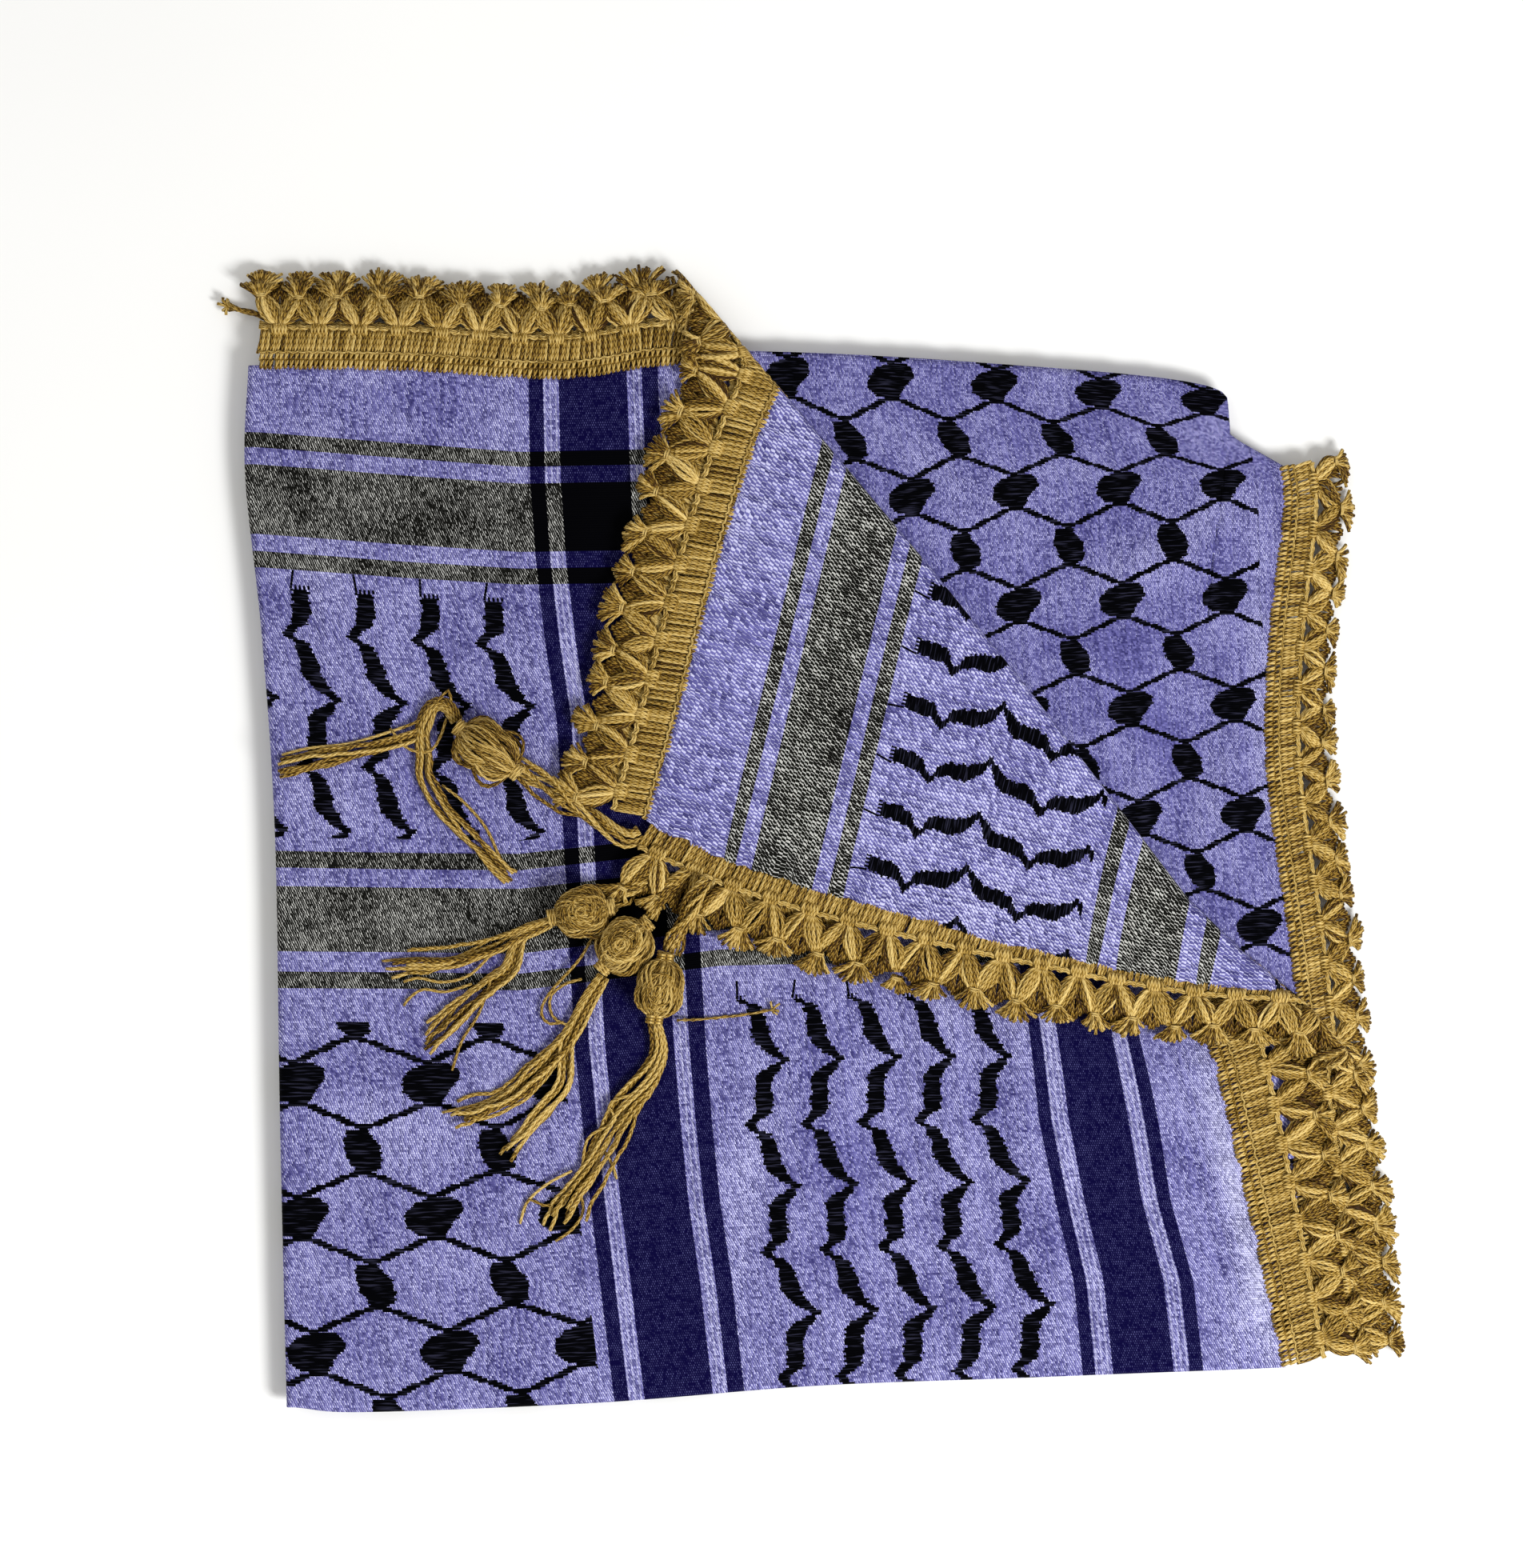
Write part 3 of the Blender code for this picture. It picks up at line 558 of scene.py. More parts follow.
def new_material(name, roughness, sheen, gloss):
    material = bpy.data.materials.new(name)
    material.use_nodes = True
    shader = material.node_tree.nodes["Principled BSDF"]
    shader.inputs["Roughness"].default_value = roughness
    shader.inputs["Sheen Weight"].default_value = sheen
    shader.inputs["Sheen Roughness"].default_value = 0.45
    shader.inputs["Specular IOR Level"].default_value = gloss
    return material, material.node_tree, shader


def mesh_fields(tree, uv_name, attribute_name):
    """The two numbers of a mesh's UV map, and its attribute."""
    uv = tree.nodes.new("ShaderNodeUVMap")
    uv.uv_map = uv_name
    split = tree.nodes.new("ShaderNodeSeparateXYZ")
    tree.links.new(uv.outputs[0], split.inputs[0])
    attribute = tree.nodes.new("ShaderNodeAttribute")
    attribute.attribute_name = attribute_name
    sockets = (split.outputs[0], split.outputs[1], attribute.outputs["Fac"])
    return [Field(tree, socket) for socket in sockets]


def add_bump(tree, shader, height, distance):
    """Relief on a surface, from a field of heights. Its full height is distance, in millimetres."""
    node = tree.nodes.new("ShaderNodeBump")
    node.inputs["Strength"].default_value = BUMP_STRENGTH
    node.inputs["Distance"].default_value = distance * MM
    tree.links.new(height.socket, node.inputs["Height"])
    tree.links.new(node.outputs[0], shader.inputs["Normal"])


def leaves(u, length, ragged, first, spacing, tip, rate, across, along):
    """Black leaves in columns: 1 inside one."""
    raw = (-u + first + LEAF_SIDE).part(spacing) - LEAF_SIDE
    aside = (raw + ragged).stepped(STEP_DOWN)
    down = ((length - tip) * rate).stepped(STEP_DOWN).part(LEAF_PERIOD)
    left = charted(down, [(q, low) for q, low, _ in LEAF])
    right = charted(down, [(q, high) for q, _, high in LEAF])
    frayed = (length > along[0] + FRAYED).either(raw.part(FRAY_PITCH) < FRAY_PITCH * FRAY_SHARE)
    shown = u.inside(*across) * length.inside(*along) * frayed
    column = ((-u + first + LEAF_SIDE) / spacing).math("FLOOR")
    above = -length + along[0]
    steps, lows, _ = zip(*LEAF)
    start = np.interp((along[0] - tip) * rate % LEAF_PERIOD, steps, lows)
    slant = above * ((scatter(column, column) - 0.35) * 0.5)
    near = (raw - start - slant).math("ABSOLUTE") < STEM_HALF
    stem = near * above.inside(-1.0, STEM_LENGTH) * u.inside(*across)
    return ((aside > left) * (aside < right) * shown).either(stem)


def knots(aside, down, table, ragged):
    """1 inside a black knot."""
    left = charted(down, [(q, low) for q, low, _ in table])
    right = charted(down, [(q, high) for q, _, high in table])
    rough = aside + ragged
    return (rough > left) * (rough < right) * down.inside(table[0][0], table[-1][0])


def net(u, length, ragged, start_u):
    """Black net with knots: 1 on its lines and in its knots."""
    half = NET_PITCH / 2
    aside = -u + NET_ORIGIN[0]
    down = length - NET_ORIGIN[1]
    near_a = (aside + half).part(NET_PITCH) - half
    row_a = ((down + half).part(NET_PITCH) - half).stepped(STEP_DOWN)
    near_b = aside.part(NET_PITCH) - half
    row_b = (down.part(NET_PITCH) - half).stepped(STEP_DOWN)
    spots = knots(near_a, row_a, KNOT_A, ragged).either(knots(near_b, row_b, KNOT_B, ragged))
    tri = near_a.stepped(STEP_ACROSS).math("ABSOLUTE") / half
    at = down.part(NET_PITCH).stepped(STEP_DOWN)
    first = (at - (tri * NET_SLOPE + NET_FALL)).math("ABSOLUTE") < NET_LINE
    second = (at - (tri * -NET_SLOPE + NET_RISE)).math("ABSOLUTE") < NET_LINE
    shown = (u > start_u) * (length > NET_START_L)
    return spots.either(first).either(second) * shown


def woven_material(name, net_start, thread, twill, evenness, light, striped=True):
    """The scarf's cloth: lavender ground, grey and navy bands, leaves and net.

    Light threads float over dark ones in short dashes. thread is their spacing. From one row to the next they
    step aside by the share twill of it. evenness (0 to 1) says how regular they are, and light how long.
    """
    material, tree, shader = new_material(name, roughness=0.6, sheen=0.006, gloss=0.01)
    u, length, sheen_shade_and_wear = mesh_fields(tree, "cut", "sheen_shade_and_wear")
    u = u * (1 / MM)
    length = length * (1 / MM)

    # Wear, and painted sheen and painted shade, that drift over the cloth, in wide and in narrow patches, and
    # threads that stray.
    drift = noise(u, length, 0.05, 3.0)
    patches = noise(u, length, 0.3, 3.0, 0.6)
    wobble = noise(u, length, 0.8, 1.0)

    # The ground: light dashes over threads of uneven depth.
    across = u / thread
    down = length / thread
    row = down.math("FLOOR")
    phase = across + (row * 0.4 + down * 0.6) * twill + wobble * (1.6 - 1.4 * evenness)
    chance = (scatter(phase.math("FLOOR"), row) - 0.5) * (1.3 - evenness) + 0.5
    # The light thread's share carries painted sheen and painted shade: the drifting patches and the table of
    # sheen, shade and wear raise or lower it.
    share = (drift - 0.5) * 0.45 + (patches - 0.5) * 0.3 + sheen_shade_and_wear * 0.3 + light
    gap = 0.12 * (1.0 - evenness)
    dash = (phase.part() < share + (chance - 0.5) * 0.5) * down.part().inside(gap, 1.0 - gap)
    column = scatter(across.math("FLOOR"), across.math("FLOOR"))
    depth = (drift - 0.5) * 0.6 + (column - 0.5) * 0.35 + (chance - 0.5) * 1.3
    ground = mixed(depth + 0.6, DEEP_THREAD, LAVENDER)
    colour = mixed(dash * ((chance - 0.5) * 0.7 + 0.66), ground, LIGHT_THREAD)

    # The pattern, which is black but for its bands. Its sides are ragged from one step to the next.
    ragged = scatter((length / STEP_DOWN).math("FLOOR"), (u / RAGGED_WIDTH).math("FLOOR")) - 0.5
    black = net(u, length, ragged, net_start)
    if striped:
        fine = (u / LINE_PITCH).part() < LINE_SHARE
        lined = bands(u, LINED_BANDS) * fine * (chance * 0.4 + 0.1)
        colour = mixed(lined, colour, LIGHT_THREAD)
        grey = bands(length, GREY_BANDS)
        navy = bands(u, NAVY_BANDS)
        # In the grey bands too, painted sheen and painted shade make the light thread show more or less.
        pepper_share = (patches - 0.5) * 0.4 + (drift - 0.5) * 0.5 + light - 0.03 + sheen_shade_and_wear * 0.15
        pepper = (phase.part() < pepper_share + (chance - 0.5) * 0.5) * ((chance - 0.5) * 0.7 + 0.75)
        colour = mixed(grey, colour, mixed(pepper, GREY_DARK, GREY_LIGHT))
        slant = ((across + row * 0.5).part() < TWILL_SHARE) * down.part().inside(0.15, 0.85)
        navy_light = slant * (patches * 0.9 + chance * 0.9 - 0.65)
        colour = mixed(navy, colour, mixed(navy_light, NAVY, NAVY_TWILL))
        black = black.either(leaves(u, length, ragged, **SIDE_LEAVES))
        black = black.either(leaves(u, length, ragged, **END_LEAVES))
        colour = mixed(grey * navy, colour, BLACK)
    floats = noise(u * 0.12, length * 1.9, 1.0, 1.0)
    shine = (floats - SHINE_FROM).math("MULTIPLY", 5.0, clamp=True)
    colour = mixed(black, colour, mixed(shine, BLACK, BLACK_SHINE))
    tree.links.new(colour, shader.inputs["Base Color"])
    relief = dash * 0.5 + down.part().math("PINGPONG", 0.5) + black * (floats + 0.6)
    add_bump(tree, shader, relief, 0.16)
    return material


def yarn_material(name):
    """Plied gold yarn: spiral plies along each tube, painted lighter on their crowns and darker in the
    grooves between them as painted highlight and painted shade, with each yarn's own value, which for some
    yarns is painted shade.
    """
    material, tree, shader = new_material(name, roughness=0.55, sheen=0.02, gloss=0.12)
    along, around, tone_and_shade = mesh_fields(tree, "yarn", "tone_and_shade")
    ply = (along / PLY_PITCH + around * 2.0).part().math("PINGPONG", 0.5) * 2.0
    fibre = noise(along * 0.9, around * 9.0 + along * 2.2, 1.0, 2.0)
    value = ply * 0.62 + (fibre - 0.5) * 1.1 + (tone_and_shade - 0.5) * 0.8 + 0.06
    # Painted highlight and painted shade: the plies' crowns go towards the light gold, their grooves and the
    # darkest yarns towards the dark gold.
    light = mixed((value - 0.35).math("MULTIPLY", 1.5, clamp=True), GOLD, GOLD_LIGHT_AND_HIGHLIGHT)
    colour = mixed(value.math("MULTIPLY", 2.6, clamp=True), GOLD_DARK_AND_SHADE, light)
    tree.links.new(colour, shader.inputs["Base Color"])
    add_bump(tree, shader, ply + fibre * 0.4, 0.25)
    return material


# ---------------------------------------------------------------- cloth

def patch(top, right, foot, left):
    """Fills four edge curves: a function of arrays u, v, both 0..1 from the top left corner."""

    def at(u, v):
        u1, v1 = u[..., None], v[..., None]
        above = (1 - u1) * (1 - v1) * top(0.0) + u1 * (1 - v1) * top(1.0)
        below = (1 - u1) * v1 * foot(0.0) + u1 * v1 * foot(1.0)
        corners = above + below
        return (1 - v1) * top(u) + v1 * foot(u) + (1 - u1) * left(v) + u1 * right(v) - corners

    return at


def grid_mesh(flat, turns):
    """A bmesh grid over an array of flat points (rows, columns, 3), cut in lines where it turns."""
    rows, columns = flat.shape[:2]
    grid = bmesh.new()
    verts = [grid.verts.new(point) for point in flat.reshape(-1, 3)]
    for row in range(rows - 1):
        for column in range(columns - 1):
            corner = row * columns + column
            around = (corner + columns, corner + columns + 1, corner + 1, corner)
            grid.faces.new([verts[index] for index in around])
    if turns:
        for step in range(TURN_CUTS + 1):
            at = np.array(TURN_START) + PAST * (pi * turns * step / TURN_CUTS)
            everything = grid.verts[:] + grid.edges[:] + grid.faces[:]
            bmesh.ops.bisect_plane(
                grid, geom=everything, dist=1e-3, plane_co=Vector((*at, 0.0)), plane_no=Vector((*PAST, 0.0))
            )
    return grid


def finished(name, mesh, material, uv_name, uv, attribute_name=None, values=None):
    """The scene's object from a mesh, with its UV map and its attribute, which are given by points."""
    corner = np.empty(len(mesh.loops), np.int32)
    mesh.loops.foreach_get("vertex_index", corner)
    layer = mesh.uv_layers.new(name=uv_name)
    layer.data.foreach_set("uv", uv[corner].astype(np.float32).ravel())
    if attribute_name:
        attribute = mesh.attributes.new(attribute_name, "FLOAT", "POINT")
        attribute.data.foreach_set("value", values.astype(np.float32))
    mesh.materials.append(material)
    mesh.shade_smooth()
    piece = bpy.data.objects.new(name, mesh)
    bpy.context.scene.collection.objects.link(piece)
    return piece


def cloth_piece(name, flat, place, cut, material, turns=0.0):
    """A shell of cloth over the flat points, with its cut coordinates in the UV map."""
    grid = grid_mesh(flat, turns)
    mesh = bpy.data.meshes.new(name)
    grid.to_mesh(mesh)
    grid.free()
    points = np.empty(len(mesh.vertices) * 3, np.float32)
    mesh.vertices.foreach_get("co", points)
    points = points.reshape(-1, 3).astype(float)
    where = place(points)
    mesh.vertices.foreach_set("co", (where * MM).astype(np.float32).ravel())
    marks = cut(points[:, :2]) * MM
    # Each point's strength of painted sheen and painted shade, and of wear, goes into an attribute.
    piece = finished(name, mesh, material, "cut", marks, "sheen_shade_and_wear", mounds(where[:, :2], SHEEN_SHADE_AND_WEAR))
    wall = piece.modifiers.new("wall", "SOLIDIFY")
    wall.thickness = SHELL * MM
    wall.offset = 0.0
    return piece


def panel_shares():
    return np.linspace(0.0, 1.0, round(PANEL / CLOTH_CELL) + 1)


def pucker(distance, along, seed, depth=0.32, reach=7.0):
    """Small gathers beside a lace seam: waves along it that die away from it."""
    waves = np.sin(along * 0.62 + seed)
    waves += 0.7 * np.sin(along * 0.37 + 2.1 * seed)
    waves += 0.5 * np.sin(along * 1.05 + 5 * seed)
    return depth * waves * np.exp(-distance / reach)


def front_flat():
    """The flat points of the front panel, with the round, hanging edges of its folds at the left and foot."""
    side = unfolded(shortened(FLAP_SIDE, FRONT_CORNER_SHORT), FRONT_HEIGHT)
    at = patch(
        chain(TOP_EDGE, side),
        smooth_curve((FRONT_RIGHT + [side[-1]])[::-1]),
        smooth_curve(FOOT_FOLD),
        smooth_curve(LEFT_FOLD),
    )
    profile = [(ROLL_RADIUS, ROLL_RADIUS + ROLL_DROP), (ROLL_RADIUS, ROLL_RADIUS + ROLL_DROP / 2)]
    for angle in np.linspace(pi / 2, 0.0, 6)[:-1]:
        profile.append((ROLL_RADIUS * sin(angle), ROLL_RADIUS * (1 - cos(angle))))
    outs, downs = np.array(profile).T
    across = panel_shares()
    u = np.concatenate([np.zeros(len(profile)), across])
    left_out = np.concatenate([outs, np.zeros(len(across))])
    left_down = np.concatenate([downs, np.zeros(len(across))])
    v = np.concatenate([across, np.ones(len(profile))])
    foot_out = left_out[::-1]
    foot_down = left_down[::-1]
    uu, vv = np.meshgrid(u, v)
    plan = at(uu, vv)
    pulled = ROLL_RADIUS * np.clip(1 - uu * EDGE_BLEND, 0, None)
    raised = ROLL_RADIUS * np.clip(1 - (1 - vv) * EDGE_BLEND, 0, None)
    x = plan[..., 0] + pulled - left_out[None, :]
    y = plan[..., 1] + raised - foot_out[:, None]
    drop = np.maximum(left_down[None, :], foot_down[:, None])
    top_gather = pucker(vv * PANEL, uu * PANEL, 1.3, 0.25)
    right_gather = pucker((1 - uu) * PANEL, vv * PANEL, 2.6, 0.55, 11.0)
    return np.stack([x, y, FRONT_HEIGHT - drop + (top_gather + right_gather) * (drop == 0)], axis=-1)


def inset_flat(at, height, seeds):
    """The flat points of a panel that stops inside the folds."""
    shares = panel_shares()
    uu, vv = np.meshgrid(shares, shares)
    plan = at(uu, vv)
    x = plan[..., 0] + INSET * np.clip(1 - uu * EDGE_BLEND, 0, None)
    y = plan[..., 1] + INSET * np.clip(1 - (1 - vv) * EDGE_BLEND, 0, None)
    gather = pucker(vv * PANEL, uu * PANEL, seeds[0]) + pucker((1 - uu) * PANEL, vv * PANEL, seeds[1])
    return np.stack([x, y, height + gather * 0.8], axis=-1)


def back_flat():
    """The flat points of the second layer, whose corner turns over with the front's."""
    side, foot = unfolded(FLAP_SIDE, BACK_HEIGHT), unfolded(FLAP_FOOT, BACK_HEIGHT)
    at = patch(
        chain(TOP_EDGE, side),
        smooth_curve((BACK_RIGHT + foot[1:])[::-1]),
        smooth_curve(FOOT_FOLD[:-1] + [BACK_RIGHT[0]]),
        smooth_curve(LEFT_FOLD),
    )
    return inset_flat(at, BACK_HEIGHT, (0.4, 3.3))


def net_flat():
    """The flat points of the third layer, which lies still."""
    at = patch(
        smooth_curve(NET_TOP),
        smooth_curve(NET_RIGHT),
        smooth_curve(FOOT_FOLD[:-1] + [NET_RIGHT[-1]]),
        smooth_curve([NET_TOP[0]] + LEFT_FOLD[1:]),
    )
    return inset_flat(at, NET_HEIGHT, (4.1, 5.2))


# Hidden layers, from the table up: bottom, top, and the inset at the left, foot, right and top.
CORE_LAYERS = [
    (0.0, 1.3, 1.2, 0.6, 3.0, 2.4),
    (1.3, 2.5, 0.5, 1.4, 4.6, 1.0),
    (2.5, 3.8, 1.6, 0.5, 2.2, 2.8),
    (3.8, CORE_TOP, 3.4, 3.4, 4.0, 1.4),
]
CORE_POINTS = 60  # points along each side
CORE_ROUND = 0.8  # how far each layer's top and bottom pull in from its middle
CORNER_BLEND = 12  # near a corner, over one part in this many, the next side's inset comes in


def hidden_folds(material):
    """The layers underneath as one solid, each with its own rounded and slightly waving edge."""
    sides = [
        (smooth_curve(LEFT_FOLD), (1.0, 0.0), 0),
        (smooth_curve(FOOT_FOLD[:-1] + [NET_RIGHT[-1]]), (0.0, 1.0), 1),
        (smooth_curve(NET_RIGHT[::-1]), (-1.0, 0.0), 2),
        (smooth_curve(NET_TOP[::-1]), (0.0, -1.0), 3),
    ]
    share = (np.arange(CORE_POINTS) + 0.5) / CORE_POINTS
    rings = []
    for number, (bottom, top, *insets) in enumerate(CORE_LAYERS):
        for angle in np.linspace(-pi / 2, pi / 2, 7):
            height = (bottom + top) / 2 + (top - bottom) / 2 * sin(angle) * 0.98
            ring = []
            for index, (edge, inward, column) in enumerate(sides):
                before, after = sides[index - 1], sides[(index + 1) % 4]
                wave = 0.35 * np.sin(share * 17 + number * 2.2 + index) + 0.2 * np.sin(share * 41 + number)
                inset = insets[column] + CORE_ROUND * (1 - cos(angle)) + wave + 0.35
                before_pull = np.clip(1 - share * CORNER_BLEND, 0, None) * insets[before[2]]
                after_pull = np.clip(1 - (1 - share) * CORNER_BLEND, 0, None) * insets[after[2]]
                plan = edge(share) + np.outer(inset, inward)
                plan += np.outer(before_pull, before[1]) + np.outer(after_pull, after[1])
                ring.append(np.column_stack([plan, np.full(len(plan), max(height, 0.02))]))
            rings.append(np.vstack(ring))
    points = np.vstack(rings)
    around = len(rings[0])
    faces = []
    for level in range(len(rings) - 1):
        for i in range(around):
            j = (i + 1) % around
            low, high = level * around, (level + 1) * around
            faces.append((low + i, low + j, high + j, high + i))
    faces.append(tuple(range(around))[::-1])
    faces.append(tuple(range((len(rings) - 1) * around, len(rings) * around)))
    mesh = bpy.data.meshes.new("hidden_layers")
    mesh.from_pydata((points * MM).tolist(), [], faces)
    return finished("hidden_layers", mesh, material, "cut", front_cut(points[:, :2]) * MM)


# ---------------------------------------------------------------- yarn

YARN_SIDES = 5


class Yarns:
    """Gathers yarns, each a path with a radius and a colour value, which is the yarn's own colour with
    painted shade and painted light on some, and joins them into one mesh.
    """

    def __init__(self):
        self.groups = {}

    def add(self, path, radius, tone_and_shade, taper=0.0):
        """A yarn along path (n, 3). Taper thins its ends by that share."""
        path = np.asarray(path, float)
        count = len(path)
        radii = np.full(count, radius)
        if taper:
            radii[0] *= 1 - taper
            radii[-1] *= 1 - taper
        self.groups.setdefault(count, []).append((path, radii, tone_and_shade))

    def piece(self, name, material, place=None):
        """The object of all the yarns, with their paths carried by place."""
        corners, faces, uvs, tones = [], [], [], []
        start = 0
        for yarns in self.groups.values():
            paths = np.array([yarn[0] for yarn in yarns])
            if place is not None:
                paths = place(paths)
            radii = np.array([yarn[1] for yarn in yarns])
            tone_and_shade = np.array([yarn[2] for yarn in yarns])
            points, quads, caps, uv = tube_points(paths, radii)
            corners.append(points.reshape(-1, 3))
            faces += (quads + start).reshape(-1, 4).tolist()
            faces += (caps + start).reshape(-1, YARN_SIDES).tolist()
            uvs.append(uv.reshape(-1, 2))
            tones.append(np.repeat(tone_and_shade, points.shape[1] * points.shape[2]))
            start += points.shape[0] * points.shape[1] * points.shape[2]
        points = np.vstack(corners)
        mesh = bpy.data.meshes.new(name)
        mesh.from_pydata((points * MM).tolist(), [], faces)
        return finished(name, mesh, material, "yarn", np.vstack(uvs), "tone_and_shade", np.concatenate(tones))


def tube_points(paths, radii):
    """Round tubes along paths (yarns, n, 3): points, side faces, end faces and UV (length, share around)."""
    number, count = paths.shape[:2]
    ahead = np.gradient(paths, axis=1)
    ahead /= np.linalg.norm(ahead, axis=2, keepdims=True) + 1e-9
    first = np.zeros((number, 3))
    first[:, 2] = 1.0
    steep = np.abs(ahead[:, 0, 2]) > 0.9
    first[steep] = (1.0, 0.0, 0.0)
    normals = []
    normal = first
    for i in range(count):
        normal = normal - (normal * ahead[:, i]).sum(1, keepdims=True) * ahead[:, i]
        normal /= np.linalg.norm(normal, axis=1, keepdims=True) + 1e-9
        normals.append(normal)
    normals = np.stack(normals, axis=1)
    sideways = np.cross(ahead, normals)
    angles = np.arange(YARN_SIDES) * tau / YARN_SIDES
    ring = normals[:, :, None] * np.cos(angles)[:, None] + sideways[:, :, None] * np.sin(angles)[:, None]
    points = paths[:, :, None] + ring * radii[:, :, None, None]
    lengths = np.concatenate(
        [np.zeros((number, 1)), np.cumsum(np.linalg.norm(np.diff(paths, axis=1), axis=2), axis=1)], axis=1
    )
    uv = np.empty((number, count, YARN_SIDES, 2))
    uv[..., 0] = lengths[:, :, None]
    uv[..., 1] = np.abs(np.linspace(-1, 1, YARN_SIDES, endpoint=False))
    index = np.arange(number * count * YARN_SIDES).reshape(number, count, YARN_SIDES)
    after = np.roll(index, -1, axis=2)
    quads = np.stack([index[:, :-1], after[:, :-1], after[:, 1:], index[:, 1:]], axis=-1)
    caps = np.stack([index[:, 0, ::-1], index[:, -1]], axis=1)
    return points, quads, caps, uv


# ---------------------------------------------------------------- lace

# Stitches are drawn at s along the strip, t out from the cloth and h up, for a strip of LACE_WIDTH.
FAN_PITCH = 12.0
LACE_WIDTH = 27.0
HEADER_FOOT = 3.6  # t of the border's bars
HEADER_TOP = 11.2
FAN_BASE = 12.0  # t of the petals' base, of their ties, and of the tufts' ends
TIE_AT = 22.0
TUFT_TO = 27.2
LACE_YARN = 0.46  # radius of the crochet yarn
HEADER_LOOPS = 8  # in one repeat of the border
HEADER_BARS = 7
# Chains that run along the border: t, h, radius.
CHAINS = ((HEADER_FOOT + 0.3, 0.8, 0.34), (HEADER_TOP + 0.5, 0.7, 0.5), (FAN_BASE + 0.3, 0.4, 0.5))
CHAIN_LINKS = 4  # in one repeat
BASE_YARNS = 5  # that a fan starts with
PETAL_YARNS = 7
UNDER_YARNS = 3  # that lie under a petal, and as many beside it
TIE_TURNS = 2
TUFT_YARNS = 19


def bowed(start, end, aside, lift, count=7):
    """A yarn from start to end (s, t, h) that bows aside by that much along s, and lifts."""
    share = np.linspace(0.0, 1.0, count)[:, None]
    swell = np.sin(pi * share)
    path = np.array(start) * (1 - share) + np.array(end) * share
    path[:, 0:1] += aside * swell
    path[:, 2:3] += lift * swell
    return path


def lace_header(yarns, rng, s):
    """One repeat of the lace's solid border: loops over the cloth's edge, chains, and bars between them."""
    for number in range(HEADER_LOOPS):
        at = s + (number - HEADER_LOOPS / 2 + 0.5) * FAN_PITCH / HEADER_LOOPS + rng.normal(0, 0.08)
        for low, high, lift in ((-0.9, 1.7, 0.85), (1.2, HEADER_FOOT + 0.3, 0.75)):
            path = bowed((at - 0.35, low, 0.0), (at + 0.3, high, 0.1), 0.1, lift, 4)
            yarns.add(path, LACE_YARN + 0.16, rng.uniform(0.25, 0.9))
    for number in range(HEADER_BARS):
        at = s + (number - HEADER_BARS / 2 + 0.5) * FAN_PITCH / HEADER_BARS + rng.normal(0, 0.1)
        tone_and_shade = rng.uniform(0.3, 0.75)
        for twin in (-0.42, 0.42):
            lean = 0.6 + rng.normal(0, 0.15)
            start = (at + twin - lean, HEADER_FOOT - 0.2, rng.normal(0.1, 0.1))
            end = (at + twin * 0.8 + lean, HEADER_TOP + 0.5, rng.normal(0.1, 0.1))
            path = bowed(start, end, rng.normal(0, 0.12), 0.6, 5)
            yarns.add(path, LACE_YARN + 0.03, tone_and_shade + twin * 0.5 + rng.normal(0, 0.1))
    share = np.linspace(0.0, 1.0, 13)
    for height, lift, radius in CHAINS:
        path = np.column_stack([
            s + (share - 0.5) * FAN_PITCH,
            height + 0.3 * np.cos(share * tau * CHAIN_LINKS),
            lift + 0.25 * np.sin(share * tau * CHAIN_LINKS),
        ])
        yarns.add(path, radius, rng.uniform(0.5, 1.0))
    for number in range(BASE_YARNS):
        spread = number - BASE_YARNS // 2
        start = (s + spread * 0.95 + rng.normal(0, 0.1), HEADER_TOP - 1.6, 0.3)
        end = (s + spread * 0.6, FAN_BASE + 1.5, 0.3)
        yarns.add(bowed(start, end, spread * 0.3, 1.35, 5), LACE_YARN + 0.12, rng.uniform(0.4, 0.95))


